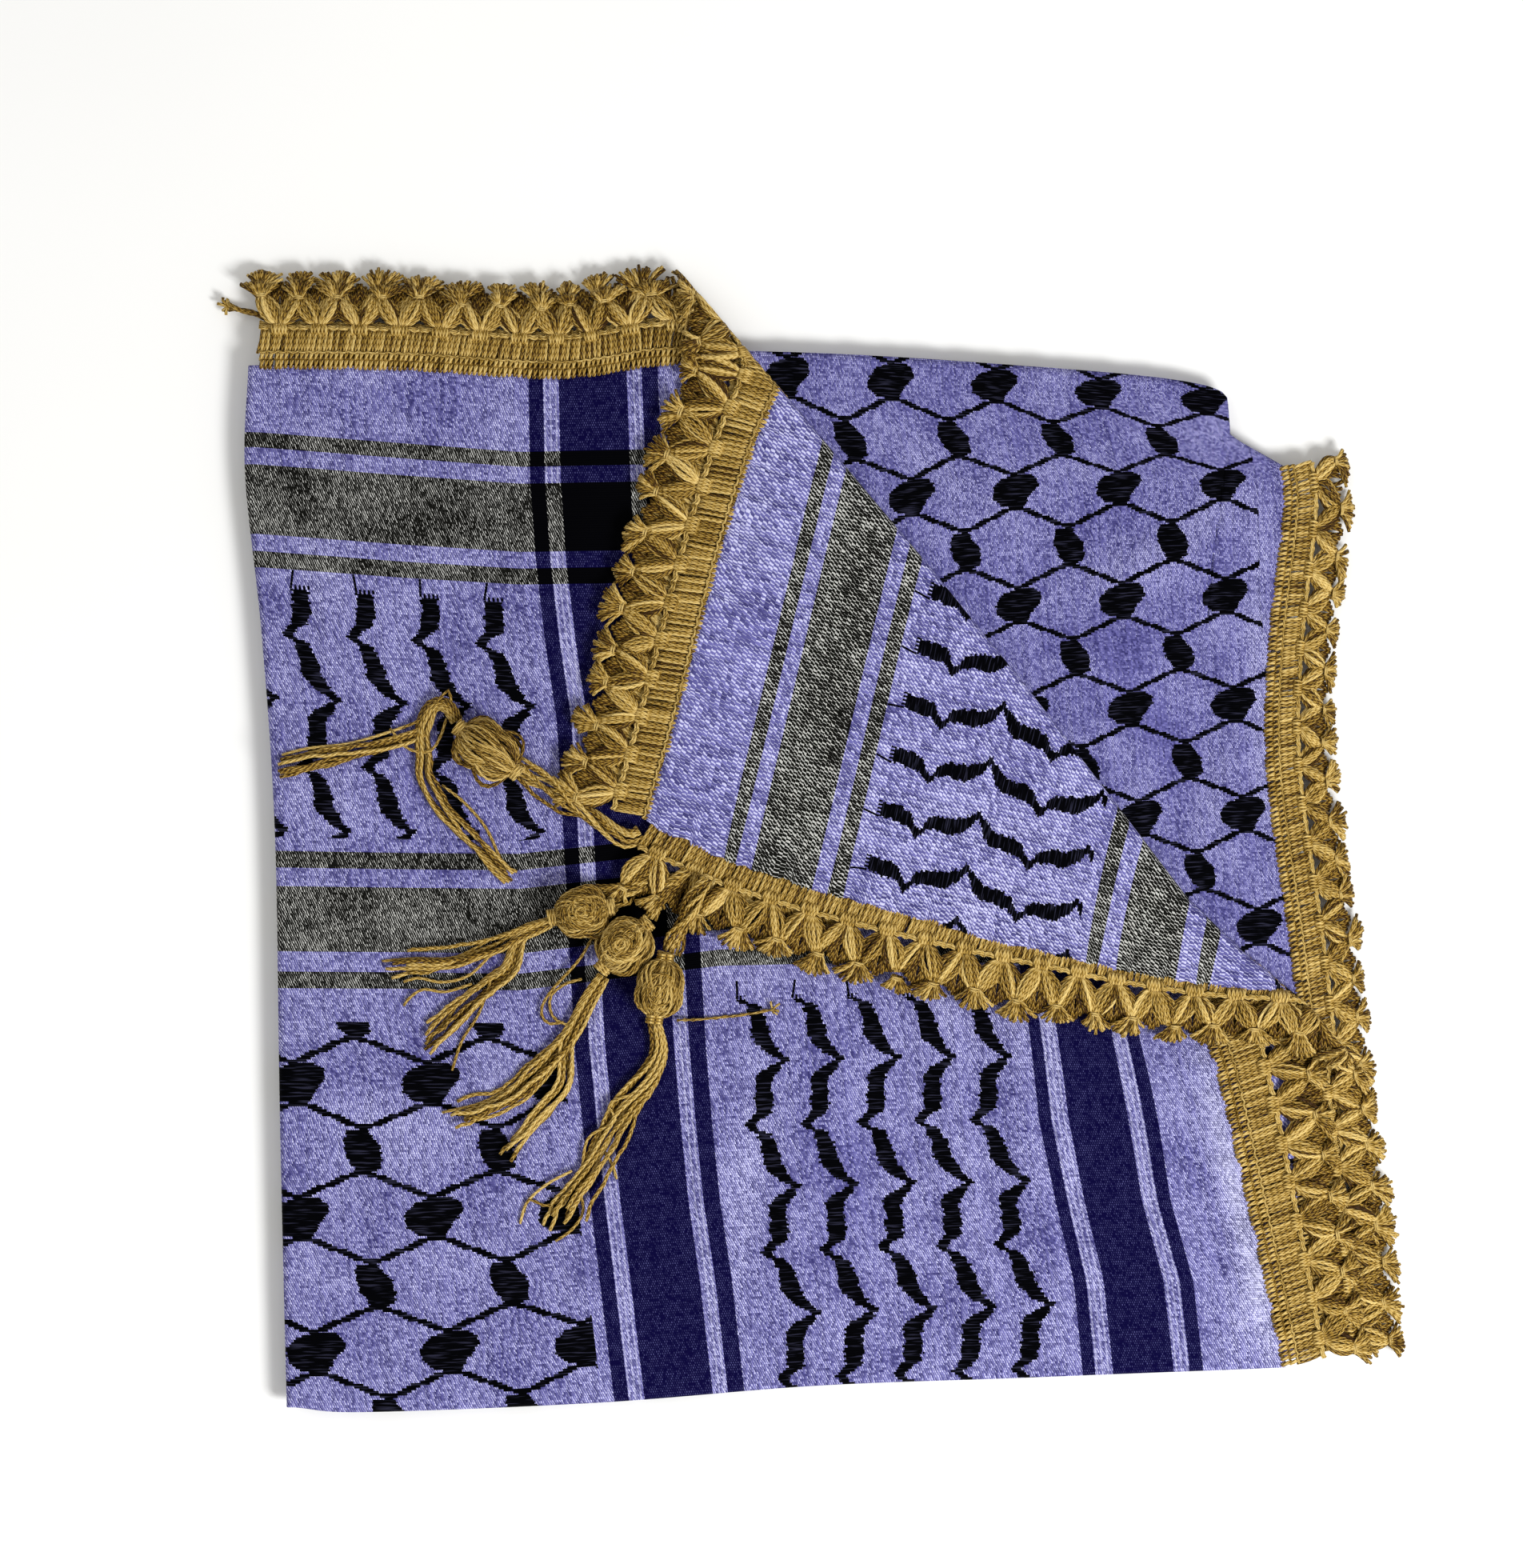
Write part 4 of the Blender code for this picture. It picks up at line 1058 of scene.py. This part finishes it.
def lace_fan(yarns, rng, s):
    """Two puffed petals from one base, each a bundle of bowed yarns over yarns darkened as painted shade,
    that ends at a tie. A petal's middle yarns, which bulge highest, are painted lighter than its sides.
    """
    for way in (-1, 1):
        lift = 2.0 + rng.normal(0, 0.25)
        swell = 2.5 + rng.normal(0, 0.3)
        tie = (s + way * (FAN_PITCH / 2 - 0.75) + rng.normal(0, 0.2), TIE_AT + rng.normal(0, 0.4), 0.9)
        for number in range(PETAL_YARNS):
            spread = (number - PETAL_YARNS // 2) / (PETAL_YARNS // 2)
            start = (s + way * 0.9 + spread * 0.8, FAN_BASE + 0.4, 0.3 + rng.normal(0, 0.1))
            end = (tie[0] + spread * 0.9, tie[1] + rng.normal(0, 0.3), tie[2])
            bulge = lift * (1 - 0.7 * spread * spread) + rng.normal(0, 0.25)
            aside = spread * swell + way * 0.1 + rng.normal(0, 0.2)
            radius = LACE_YARN + rng.uniform(0.08, 0.2)
            # Painted light and shade: a petal's middle yarns, which bulge highest, get lighter values than
            # its lower sides.
            tone_and_shade = 0.3 + 0.45 * (1 - abs(spread)) + rng.normal(0, 0.3)
            yarns.add(bowed(start, end, aside, bulge), radius, tone_and_shade)
        # Painted shade: the yarns that lie under and beside a petal get the darkest values.
        for number in range(UNDER_YARNS):
            spread = number - UNDER_YARNS // 2
            start = (s + way * 0.6 + spread * 0.7, FAN_BASE + 0.2, -0.4)
            end = (tie[0] + spread * 0.6, tie[1], -0.2)
            yarns.add(bowed(start, end, spread * swell * 0.8, -0.4, 5), LACE_YARN, rng.uniform(0.0, 0.2))
        for number in range(UNDER_YARNS):
            start = (s + way * 0.4, FAN_BASE + 3.5 + number, -0.3)
            end = (s + way * (0.3 + 1.4 * number), TIE_AT + 2.4 - 0.9 * number, -0.3)
            yarns.add(bowed(start, end, way * 0.6, 0.2, 5), LACE_YARN + 0.25, rng.uniform(0.0, 0.3))


def lace_tuft(yarns, rng, s):
    """The tie where two petals meet, and the short yarns that flare out past it."""
    s += rng.normal(0, 0.6)
    tie_at = TIE_AT + rng.normal(0, 0.6)
    lean = rng.normal(0, 1.2)
    flare = rng.uniform(4.4, 6.4)
    for number in range(TIE_TURNS):
        angle = np.linspace(0.0, tau, 8)
        path = np.column_stack([
            s + 1.7 * np.cos(angle),
            tie_at + number * 0.6 + 0.15 * np.sin(angle),
            0.9 + 1.35 * np.sin(angle),
        ])
        yarns.add(path, 0.3, rng.uniform(0.85, 1.1))
    reach = TUFT_TO - tie_at + rng.normal(0, 0.6)
    middle = (TUFT_YARNS - 1) / 2
    for number in range(TUFT_YARNS):
        spread = (number - middle) / middle + rng.normal(0, 0.06)
        out = reach * (1.0 - 0.3 * spread * spread + rng.normal(0, 0.08))
        start = np.array((s + spread * 1.2, tie_at - 0.5, 0.8))
        end = np.array((s + lean + spread * flare, tie_at + out, 0.8 + rng.uniform(-1.2, 1.3)))
        share = np.linspace(0.0, 1.0, 5)[:, None]
        path = start * (1 - share) + end * share
        path[:, 2:3] += 0.9 * np.sin(pi * share)
        path[:, 0:1] -= spread * 0.8 * np.sin(pi * share)
        yarns.add(path, LACE_YARN + 0.1, rng.uniform(0.0, 0.95), 0.1)


def lace_strip(
    name, edge, outside, short, widths, height, material, seed,
    place=folded, turned_lift=1.0, tucked=NOT_TUCKED, first=LACE_FIRST,
):
    """A strip of crochet lace outside an edge, from first to short of its end.

    outside is 1 where the strip lies to the left of the edge's way, and -1 to the right. Past the turning
    line its relief is turned_lift of its full one.
    """
    rng = np.random.default_rng(seed)
    length = edge.length
    stop = length - short
    fans = round((stop - first) / FAN_PITCH)
    scale = (stop - first) / (fans * FAN_PITCH)
    yarns = Yarns()
    for fan in range(fans):
        lace_header(yarns, rng, (fan + 0.5) * FAN_PITCH)
        lace_fan(yarns, rng, (fan + 0.5) * FAN_PITCH)
        if fan:
            lace_tuft(yarns, rng, fan * FAN_PITCH)
    lace_tuft(yarns, rng, 1.0)
    lace_tuft(yarns, rng, fans * FAN_PITCH - 1.0)
    share_at, width_at = zip(*widths)

    def laid_out(strip):
        """Carries stitches (s, t, h) to where they lie."""
        s = np.clip(first + strip[..., 0] * scale, 0.5, length - 0.5)
        share = s / length
        here = edge(share)
        step = 2.0 / length
        ahead = edge(np.clip(share + step, 0, 1)) - edge(np.clip(share - step, 0, 1))
        ahead /= np.linalg.norm(ahead, axis=-1, keepdims=True)
        outward = outside * np.stack([-ahead[..., 1], ahead[..., 0]], axis=-1)
        overrun = (first + strip[..., 0] * scale) - s
        width = np.interp(share, share_at, width_at)
        tuck = np.interp(share, *zip(*tucked))
        t = LACE_GAP + (strip[..., 1] - tuck) * width / (LACE_WIDTH - tuck)
        t = np.where(strip[..., 1] < 0, strip[..., 1] - tuck, t)
        plan = here + outward * t[..., None] + ahead * overrun[..., None]
        where = place(np.concatenate([plan, np.full(plan.shape[:-1] + (1,), height)], axis=-1))
        lift = np.where(along_turn(plan)[1] > 0.0, turned_lift, 1.0)
        under = np.clip((tuck - strip[..., 1]) / 1.5, 0.0, 1.0) * (tuck > 0)
        where[..., 2] += strip[..., 2] * lift * (1 - 0.8 * under) - 0.8 * under
        return where

    return yarns.piece(name, material, laid_out)


# ---------------------------------------------------------------- tassels

# Balls: name, x, y, half length, half width, half height, heading.
BALLS = [
    ("tassel_1_ball", -98, 27, 10.2, 7.9, 7.4, -38),
    ("tassel_2_ball", -70, -21.5, 8.3, 7.8, 7.4, 10),
    ("tassel_3_ball", -57, -31.5, 8.8, 8, 7.6, 45),
    ("tassel_4_ball", -46.5, -44, 9, 7.2, 7, 80),
]
COILS = (0, 7, 10, 3)  # rings wound round the top of each ball
# Cords: name, radius, flatness, route points x, y, lift above the front panel.
CORDS = {
    "tassel_1_braid": (2.8, 0.8, [
        (-52.5, 2.5, 0.4), (-57, 1, 0.4), (-67, 7.2, 0.6), (-76.5, 13.2, 1.2), (-86.5, 19.6, 1.8),
        (-90.5, 22.2, 2.6),
    ]),
    "tassel_2_braid": (2.8, 0.8, [
        (-46, -8, 0.6), (-53, -13, 0.6), (-58, -16.4, 0.8), (-61.5, -18.4, 1.6),
    ]),
    "tassel_3_braid": (2.4, 0.8, [
        (-38.4, -9, 2.2), (-46.2, -16.6, 2.6), (-48.2, -20, 2.2), (-49.8, -23.2, 2),
    ]),
    "tassel_4_braid": (2.8, 0.8, [(-33, -11, 5), (-37, -19, 5), (-40, -25.5, 3), (-43.4, -33.6, 2)]),
    "tassel_1_tail_a": (3, 0.55, [
        (-107.4, 35.6, 2.6), (-110.5, 40.4, 2), (-115, 40, 0.6), (-118, 33, 0), (-124, 30.2, 0),
        (-136.5, 27.2, 0), (-150, 24.6, 0), (-161.5, 22, 0),
    ]),
    "tassel_1_tail_b": (3.2, 0.55, [
        (-117.6, 25.2, 0), (-117.2, 18, 0), (-110.5, 7.5, 0), (-100.5, -2.5, 0), (-90.5, -12.6, 0),
    ]),
    "tassel_2_tail_a": (3.6, 0.5, [
        (-79.4, -24.4, 1.6), (-88.5, -28.4, 0), (-97, -32.6, 0), (-112, -36.5, 0), (-131, -38.4, 0),
    ]),
    "tassel_2_tail_b": (3.2, 0.5, [
        (-92, -38.2, 0), (-98, -43, 0), (-104, -48, 0), (-111.5, -55.5, 0), (-119, -62, 0),
    ]),
    "tassel_3_tail_a": (4.2, 0.5, [
        (-63.4, -40.6, 1.6), (-68, -48, 0), (-74.5, -60, 0), (-84, -70, 0), (-93, -77.5, 0),
        (-109.5, -83.6, 0),
    ]),
    "tassel_3_tail_b": (3, 0.5, [(-75.6, -72.6, 0), (-81.5, -79.5, 0), (-88.5, -87, 0), (-95, -94, 0)]),
    "tassel_4_tail": (3.8, 0.5, [
        (-48.4, -54.2, 1.2), (-46.6, -62.5, 0), (-49.5, -70.5, 0), (-57.5, -80.5, 0), (-64, -92, 0),
        (-70, -102, 0), (-76, -111, 0), (-78.6, -117.6, 0),
    ]),
    "tassel_4_thread": (0.6, 1, [
        (-41.6, -53.8, 1.2), (-34, -53.6, 0.3), (-22, -52.4, 0), (-13, -50.8, 0),
    ]),
}
TUFT_ROUTE = [(-171.6, 159.2, 3.4), (-174.6, 160.0, 3.0), (-177.0, 160.9, 2.6)]
TASSEL_YARN = 0.62  # radius
WANDER = 0.5  # how far a bundle's yarns stray, as a share of its radius
BALL_TURNS = 46  # of yarn from neck to neck
BALL_SKIN = 0.55  # a ball's own yarns lie this far inside its size
NECK_TURNS = 3  # round each neck
NECK_RADIUS = 2.3
NECK_FLATNESS = 0.85
NECK_PITCH = 0.9
# A second tail starts along the first: its name, and how many of its points they share.
SHARED_NECK = {
    "tassel_1_tail_b": ("tassel_1_tail_a", 4),
    "tassel_2_tail_b": ("tassel_2_tail_a", 2),
    "tassel_3_tail_b": ("tassel_3_tail_a", 3),
}
# Single yarns beside a cord: x, y, lift.
LOOSE_YARNS = {
    "tassel_1_tail_a": [
        [(-124, 33.6, 0.8), (-117, 37, 2), (-112, 43, 3.4), (-109.8, 45, 3.6), (-109, 41, 3)],
        [
            (-127.5, 33.5, 0.8), (-122.3, 27.6, 1.8), (-115.8, 26.6, 2.6), (-112.4, 30.8, 2.8),
            (-110.5, 36.5, 3.2),
        ],
        [(-118, 36, 1), (-128, 32.4, 0.6), (-140, 29, 0.2), (-152, 27.6, 0), (-160, 25.6, 0)],
    ],
    "tassel_1_tail_b": [
        [(-112, 16.6, 0.8), (-105.5, 11.5, 0.4), (-99, 4, 0), (-95, -4.5, 0), (-92, -12, 0)],
    ],
    "tassel_2_tail_a": [
        [(-97, -34, 1), (-104, -40.5, 0.8), (-112, -42.5, 0.6), (-119, -41.2, 0.4), (-123.5, -42.4, 0.8)],
        [
            (-103, -43, 0.8), (-111, -45.4, 0.6), (-117.5, -44.6, 0.8), (-121.5, -47, 0.6),
            (-123.5, -49.6, 0.2),
        ],
        [(-97, -41, 0.8), (-101, -52, 0.5), (-106, -60, 0.3), (-109, -69, 0)],
        [(-86, -26, 1.6), (-96, -29, 0.8), (-108, -35, 0.4), (-120, -35.4, 0.2), (-130, -36.2, 0)],
    ],
    "tassel_3_tail_a": [
        [
            (-59.2, -20.5, 6), (-65.9, -27.7, 4), (-70.7, -35.6, 2.6), (-79.3, -45.2, 1.4),
            (-82.2, -50.8, 1), (-80.3, -54.8, 1), (-75.5, -54.4, 1.8),
        ],
        [(-70, -41.5, 2), (-75, -43, 1.8), (-79.5, -47, 1), (-78.6, -53, 1), (-73.6, -55.6, 2)],
        [(-80, -66, 0.6), (-90, -73, 0.3), (-100, -78.6, 0.1), (-112, -81.6, 0)],
    ],
    "tassel_4_tail": [
        [(-73, -99, 1.2), (-80.5, -103, 0.9), (-86.5, -108.5, 0.5), (-88.6, -115, 0.2)],
        [(-75.5, -107, 1), (-80.5, -109.6, 0.8), (-86, -107.6, 0.6), (-87.4, -111.6, 0.3)],
        [(-71, -104, 1), (-69.6, -111, 0.6), (-73, -116.6, 0.3), (-78, -120.2, 0)],
        [(-55, -76, 2.4), (-62, -79, 2.8), (-60, -84, 2.4), (-68, -89, 1.6), (-70, -98, 1)],
        [(-64, -92, 0.6), (-61, -97, 0.4), (-59.6, -101.6, 0)],
    ],
}


def on_front(points, radius):
    """The smooth line through points x, y, lift that rests on the front panel."""
    points = np.array(points)
    heights = FRONT_TOP + radius + points[:, 2] + lie(points[:, :2])
    return smooth_curve(np.column_stack([points[:, :2], heights]))


def cord_route(name):
    """The smooth line of a cord's middle, from the neck."""
    radius, flatness, points = CORDS[name]
    if name in SHARED_NECK:
        first, count = SHARED_NECK[name]
        points = CORDS[first][2][:count] + points
    return on_front(points, radius * flatness)


def strands(yarns, rng, route, count, radius, flatness, twist, profile, ends=0.0, yarn=TASSEL_YARN):
    """Yarns side by side along a route, in a bundle of that radius that a profile widens or narrows."""
    steps = max(6, round(route.length / 2.2))
    for number in range(count):
        angle = tau * number / count + rng.normal(0, 0.25)
        out = radius * np.sqrt(rng.uniform(0.15, 1.0))
        last = 1.0 - ends * rng.uniform(0.0, 1.0)
        share = np.linspace(0.0, last, steps)
        middle = route(share)
        ahead = np.gradient(middle, axis=0)
        ahead /= np.linalg.norm(ahead, axis=1, keepdims=True)
        sideways = np.column_stack([-ahead[:, 1], ahead[:, 0], np.zeros(steps)])
        turn = angle + twist * tau * share
        drift = WANDER * np.cumsum(rng.normal(0, 1.0, steps)) / np.sqrt(steps) * (0.3 + share)
        wide = np.interp(share, *zip(*profile))
        aside = (np.cos(turn) * out + drift * radius) * wide
        up = np.sin(turn) * out * flatness * wide
        path = middle + sideways * aside[:, None]
        path[:, 2] += up
        yarns.add(path, yarn, rng.uniform(0.15, 0.9), 0.2)


def neck(yarns, rng, centre, along, side):
    """A few tight turns of yarn round the neck of a ball. along and side are its unit directions."""
    angle = np.linspace(0.0, tau, 12)
    for number in range(NECK_TURNS):
        at = centre + along * (number - (NECK_TURNS - 1) / 2) * NECK_PITCH
        ring = np.outer(np.cos(angle), side) + np.outer(np.sin(angle), (0, 0, NECK_FLATNESS))
        turn = at + ring * NECK_RADIUS + np.outer(angle / tau - 0.5, along) * NECK_PITCH
        yarns.add(turn, 0.5, rng.uniform(0.5, 0.95))


def ball(name, x, y, length, width, height, heading, material, seed, coils):
    """A ball of wound yarn: turns from neck to neck, and coils round its upper side."""
    rng = np.random.default_rng(seed)
    yarns = Yarns()
    plan = np.array((x, y))
    centre = np.array((x, y, FRONT_TOP + lie(plan) + height))
    forward = np.array((cos(radians(heading)), sin(radians(heading)), 0.0))
    sideways = np.array((-forward[1], forward[0], 0.0))
    up = np.array((0.0, 0.0, 1.0))
    axes = (forward * (length - BALL_SKIN), sideways * (width - BALL_SKIN), up * (height - BALL_SKIN))

    def on_ball(a, b, c, grow):
        """Points of the ball from shares of its three axes."""
        return centre + (np.outer(a, axes[0]) + np.outer(b, axes[1]) + np.outer(c, axes[2])) * grow

    angle = np.linspace(0.0, tau, 26)
    for number in range(BALL_TURNS):
        roll = pi * number / BALL_TURNS + rng.normal(0, 0.04)
        lean = rng.normal(0, 0.16) * np.sin(2 * angle) + rng.normal(0, 0.06) * np.cos(3 * angle)
        ring = np.sin(angle)
        grow = 1 + rng.uniform(-0.04, 0.02)
        path = on_ball(np.cos(angle), ring * np.cos(roll) + lean, ring * np.sin(roll), grow)
        yarns.add(path, 0.46, rng.uniform(0.0, 0.95))
    middle = rng.uniform(-0.2, 0.2, 2)
    for number in range(coils):
        polar = 0.12 + 0.9 * (number + 0.5) / coils
        a = np.cos(angle) * sin(polar) * rng.uniform(0.85, 1.1) + middle[0] + rng.normal(0, 0.05)
        b = np.sin(angle) * sin(polar) * rng.uniform(0.85, 1.1) + middle[1] + rng.normal(0, 0.05)
        c = np.sqrt(np.clip(1 - a * a - b * b, 0.0, 1.0))
        yarns.add(on_ball(a, b, c, 1.03 + rng.uniform(-0.02, 0.02)), 0.5, rng.uniform(0.1, 0.95))
    for way in (-1, 1):
        neck(yarns, rng, centre + forward * way * (length + 0.3), forward, sideways)
    return yarns.piece(name, material)


def cord_piece(name, material, seed, **bundle):
    """One cord's yarns, from the neck that it shares with its neighbour, with the loose yarns beside it."""
    rng = np.random.default_rng(seed)
    yarns = Yarns()
    radius, flatness, _ = CORDS[name]
    route = cord_route(name)
    strands(yarns, rng, route, radius=radius - 0.4, flatness=flatness, **bundle)
    for loose in LOOSE_YARNS.get(name, ()):
        line = on_front(loose, 0.5)
        path = line(np.linspace(0.0, 1.0, max(6, round(line.length / 2.0))))
        yarns.add(path, 0.48, rng.uniform(0.3, 0.95), 0.2)
    return yarns.piece(name + "_yarn", material)


# How each cord's yarns lie: how many, turns along it, width profile, and how uneven its ends are.
BRAID = {"count": 10, "twist": 1.0, "profile": [(0.0, 1.1), (0.5, 1.0), (1.0, 0.7)]}
TAILS = {
    "tassel_1_tail_a": {
        "count": 7, "twist": 0.4, "ends": 0.05,
        "profile": [(0.0, 0.6), (0.4, 0.8), (0.7, 1.1), (1.0, 0.9)],
    },
    "tassel_1_tail_b": {
        "count": 8, "twist": 0.4, "ends": 0.05,
        "profile": [(0.0, 0.6), (0.5, 1.0), (1.0, 0.9)],
    },
    "tassel_2_tail_a": {
        "count": 7, "twist": 0.3, "ends": 0.2,
        "profile": [(0.0, 0.5), (0.4, 1.0), (1.0, 0.7)],
    },
    "tassel_2_tail_b": {
        "count": 8, "twist": 0.3, "ends": 0.12,
        "profile": [(0.0, 0.5), (0.5, 0.9), (1.0, 1.1)],
    },
    "tassel_3_tail_a": {
        "count": 9, "twist": 0.3, "ends": 0.14,
        "profile": [(0.0, 0.5), (0.5, 0.9), (1.0, 1.0)],
    },
    "tassel_3_tail_b": {
        "count": 6, "twist": 0.3, "ends": 0.1,
        "profile": [(0.0, 0.5), (0.4, 0.9), (1.0, 0.9)],
    },
    "tassel_4_tail": {
        "count": 12, "twist": 0.6, "ends": 0.2,
        "profile": [(0.0, 0.6), (0.3, 1.0), (0.6, 0.8), (0.8, 0.8), (1.0, 1.5)],
    },
}


# ---------------------------------------------------------------- the scene

VIEW_HEIGHT = 470.4  # height of the view in the plane of the front panel
VIEW_CENTRE = (-16.2, 16.9)
CAMERA_UP = 1700.0
SENSOR = 36.0
SKY = (1.0, 0.99, 0.97, 1.0)
SKY_STRENGTH = 0.50
# Lamps: name, place and size in metres, power.
LAMPS = [("key", (0.75, -0.65, 1.1), 0.45, 20.5), ("fill", (-0.9, 0.5, 1.5), 1.4, 4.5)]
FLOOR_SIZE = 6.0  # metres


def add_camera():
    """A camera straight above, whose longer side takes in VIEW_HEIGHT."""
    camera = bpy.data.cameras.new("camera")
    camera.sensor_fit = "AUTO"
    camera.sensor_width = SENSOR
    camera.lens = SENSOR * (CAMERA_UP - FRONT_HEIGHT) / VIEW_HEIGHT
    camera.clip_start = 0.05
    camera.clip_end = 20.0
    holder = bpy.data.objects.new("camera", camera)
    holder.location = (VIEW_CENTRE[0] * MM, VIEW_CENTRE[1] * MM, CAMERA_UP * MM)
    bpy.context.scene.collection.objects.link(holder)
    bpy.context.scene.camera = holder


def add_floor():
    bpy.ops.mesh.primitive_plane_add(size=FLOOR_SIZE, location=(0.0, 0.0, 0.0))
    floor = bpy.context.object
    floor.name = "floor"
    material, tree, shader = new_material("pale_floor", roughness=0.9, sheen=0.0, gloss=0.1)
    coordinates = tree.nodes.new("ShaderNodeTexCoord")
    speckle = tree.nodes.new("ShaderNodeTexNoise")
    speckle.inputs["Scale"].default_value = 9.0
    speckle.inputs["Detail"].default_value = 6.0
    tree.links.new(coordinates.outputs["Object"], speckle.inputs["Vector"])
    value = Field(tree, speckle.outputs[0])
    tree.links.new(mixed(value, FLOOR_DULL, FLOOR_PALE), shader.inputs["Base Color"])
    floor.data.materials.append(material)


def add_light():
    world = bpy.data.worlds.new("studio")
    world.use_nodes = True
    background = world.node_tree.nodes["Background"]
    background.inputs["Color"].default_value = SKY
    background.inputs["Strength"].default_value = SKY_STRENGTH
    bpy.context.scene.world = world
    for name, place, size, power in LAMPS:
        lamp = bpy.data.lights.new(name, "AREA")
        lamp.size = size
        lamp.energy = power
        holder = bpy.data.objects.new(name, lamp)
        holder.location = place
        holder.rotation_euler = (-Vector(place)).to_track_quat("-Z", "Y").to_euler()
        bpy.context.scene.collection.objects.link(holder)


def stand_for(piece, node):
    """Says that a piece rides on the scarf's one body and takes a CAD node's place."""
    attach(piece, "root")
    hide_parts(node)


def build_cloth():
    woven = woven_material("woven_cloth", NET_START_U, **FRONT_WEAVE)
    turned = woven_material("turned_cloth", NET_START_U, **FLAP_WEAVE)
    netted = woven_material("netted_cloth", NET_ENDS_U, striped=False, **NET_WEAVE)
    hidden = hidden_folds(woven)
    stand_for(hidden, "inner_folds")
    net_piece = cloth_piece("net_cloth", net_flat(), laid, net_cut, netted)
    stand_for(net_piece, "net_panel")
    back = cloth_piece("back_cloth", back_flat(), folded, flap_cut, turned, TURN_CENTRE - BACK_HEIGHT)
    stand_for(back, "back_panel")
    front = cloth_piece("front_cloth", front_flat(), folded, front_cut, woven, TURN_CENTRE - FRONT_HEIGHT)
    stand_for(front, "front_panel")
    return hidden, net_piece, back, front


def build_laces(gold):
    front_side = unfolded(shortened(FLAP_SIDE, FRONT_CORNER_SHORT), FRONT_HEIGHT)
    back_side = unfolded(FLAP_SIDE, BACK_HEIGHT)
    back_foot = unfolded(FLAP_FOOT, BACK_HEIGHT)
    back_right = smooth_curve(BACK_RIGHT + back_foot[1:])
    front_right = smooth_curve(FRONT_RIGHT + [front_side[-1]])
    strips = [
        ("front_lace_top", chain(TOP_EDGE, front_side), 1, SIDE_LACE_SHORT, FRONT_TOP_LACE, FRONT_HEIGHT),
        ("front_lace_right", front_right, -1, FOOT_LACE_SHORT, FRONT_RIGHT_LACE, FRONT_HEIGHT),
        ("back_lace_top", chain(TOP_EDGE, back_side), 1, CORNER_SHORT, BACK_TOP_LACE, BACK_HEIGHT),
        ("back_lace_right", back_right, -1, CORNER_SHORT, BACK_RIGHT_LACE, BACK_HEIGHT),
    ]
    made = {}
    for seed, (name, edge, outside, short, widths, height) in enumerate(strips):
        piece = lace_strip(
            name + "_crochet", edge, outside, short, widths, height, gold, seed + 3,
            turned_lift=UNDER_LIFT if height == FRONT_HEIGHT else 1.0,
            tucked=TUCKED.get(name, NOT_TUCKED),
            first=RIGHT_LACE_FIRST if name == "front_lace_right" else LACE_FIRST,
        )
        stand_for(piece, name)
        made[name] = piece
    edge = smooth_curve(NET_RIGHT[::-1])
    piece = lace_strip("net_lace_right_crochet", edge, -1, 0.0, NET_RIGHT_LACE, NET_HEIGHT, gold, 11, laid)
    stand_for(piece, "net_lace_right")
    made["net_lace_right"] = piece
    return made


def build_tassels(gold):
    made = []
    for number, row in enumerate(BALLS):
        piece = ball(row[0] + "_yarn", *row[1:], gold, 40 + number, COILS[number])
        stand_for(piece, row[0])
        made.append(piece)
    for number in range(1, 5):
        name = f"tassel_{number}_braid"
        piece = cord_piece(name, gold, 50 + number, **BRAID)
        stand_for(piece, name)
        made.append(piece)
    for number, (name, bundle) in enumerate(TAILS.items()):
        piece = cord_piece(name, gold, 60 + number, **bundle)
        stand_for(piece, name)
        made.append(piece)
    yarns = Yarns()
    rng = np.random.default_rng(80)
    route = cord_route("tassel_4_thread")
    strands(yarns, rng, route, 2, 0.35, 1.0, 5.0, [(0.0, 1.0), (1.0, 1.0)], yarn=0.35)
    tip = route(1.0)
    for _ in range(8):
        angle = rng.uniform(0, tau)
        reach = rng.uniform(1.2, 2.6)
        end = tip + np.array((cos(angle) * reach + 0.8, sin(angle) * reach + 0.4, rng.uniform(0.2, 1.4)))
        yarns.add(bowed(tip, end, rng.normal(0, 0.3), 0.4, 4), 0.34, rng.uniform(0.3, 0.9))
    piece = yarns.piece("tassel_4_thread_yarn", gold)
    stand_for(piece, "tassel_4_thread")
    made.append(piece)
    return made


def build_tuft(gold):
    """The frayed yarn end at the left end of the top lace."""
    yarns = Yarns()
    rng = np.random.default_rng(90)
    route = smooth_curve([(-165.0, 157.0, 4.4)] + TUFT_ROUTE)
    strands(yarns, rng, route, 6, 1.2, 0.8, 0.7, [(0.0, 0.8), (0.7, 0.7), (1.0, 1.3)], ends=0.1, yarn=0.5)
    tip = np.array(TUFT_ROUTE[-1])
    for _ in range(9):
        angle = rng.uniform(0, tau)
        reach = rng.uniform(1.6, 3.0)
        end = tip + np.array((cos(angle) * reach - 0.8, sin(angle) * reach, rng.uniform(-1.2, 1.2)))
        yarns.add(bowed(tip, end, rng.normal(0, 0.4), 0.3, 4), 0.5, rng.uniform(0.3, 0.9))
    piece = yarns.piece("lace_end_tuft_yarn", gold)
    stand_for(piece, "lace_end_tuft")
    return piece


def main():
    bpy.context.scene.view_settings.view_transform = "Standard"
    add_camera()
    add_floor()
    add_light()
    hidden, net_piece, back, front = build_cloth()
    lace_gold = yarn_material("lace_yarn")
    tassel_gold = yarn_material("tassel_yarn")
    laces = build_laces(lace_gold)
    tassels = build_tassels(tassel_gold)
    tuft = build_tuft(lace_gold)


main()
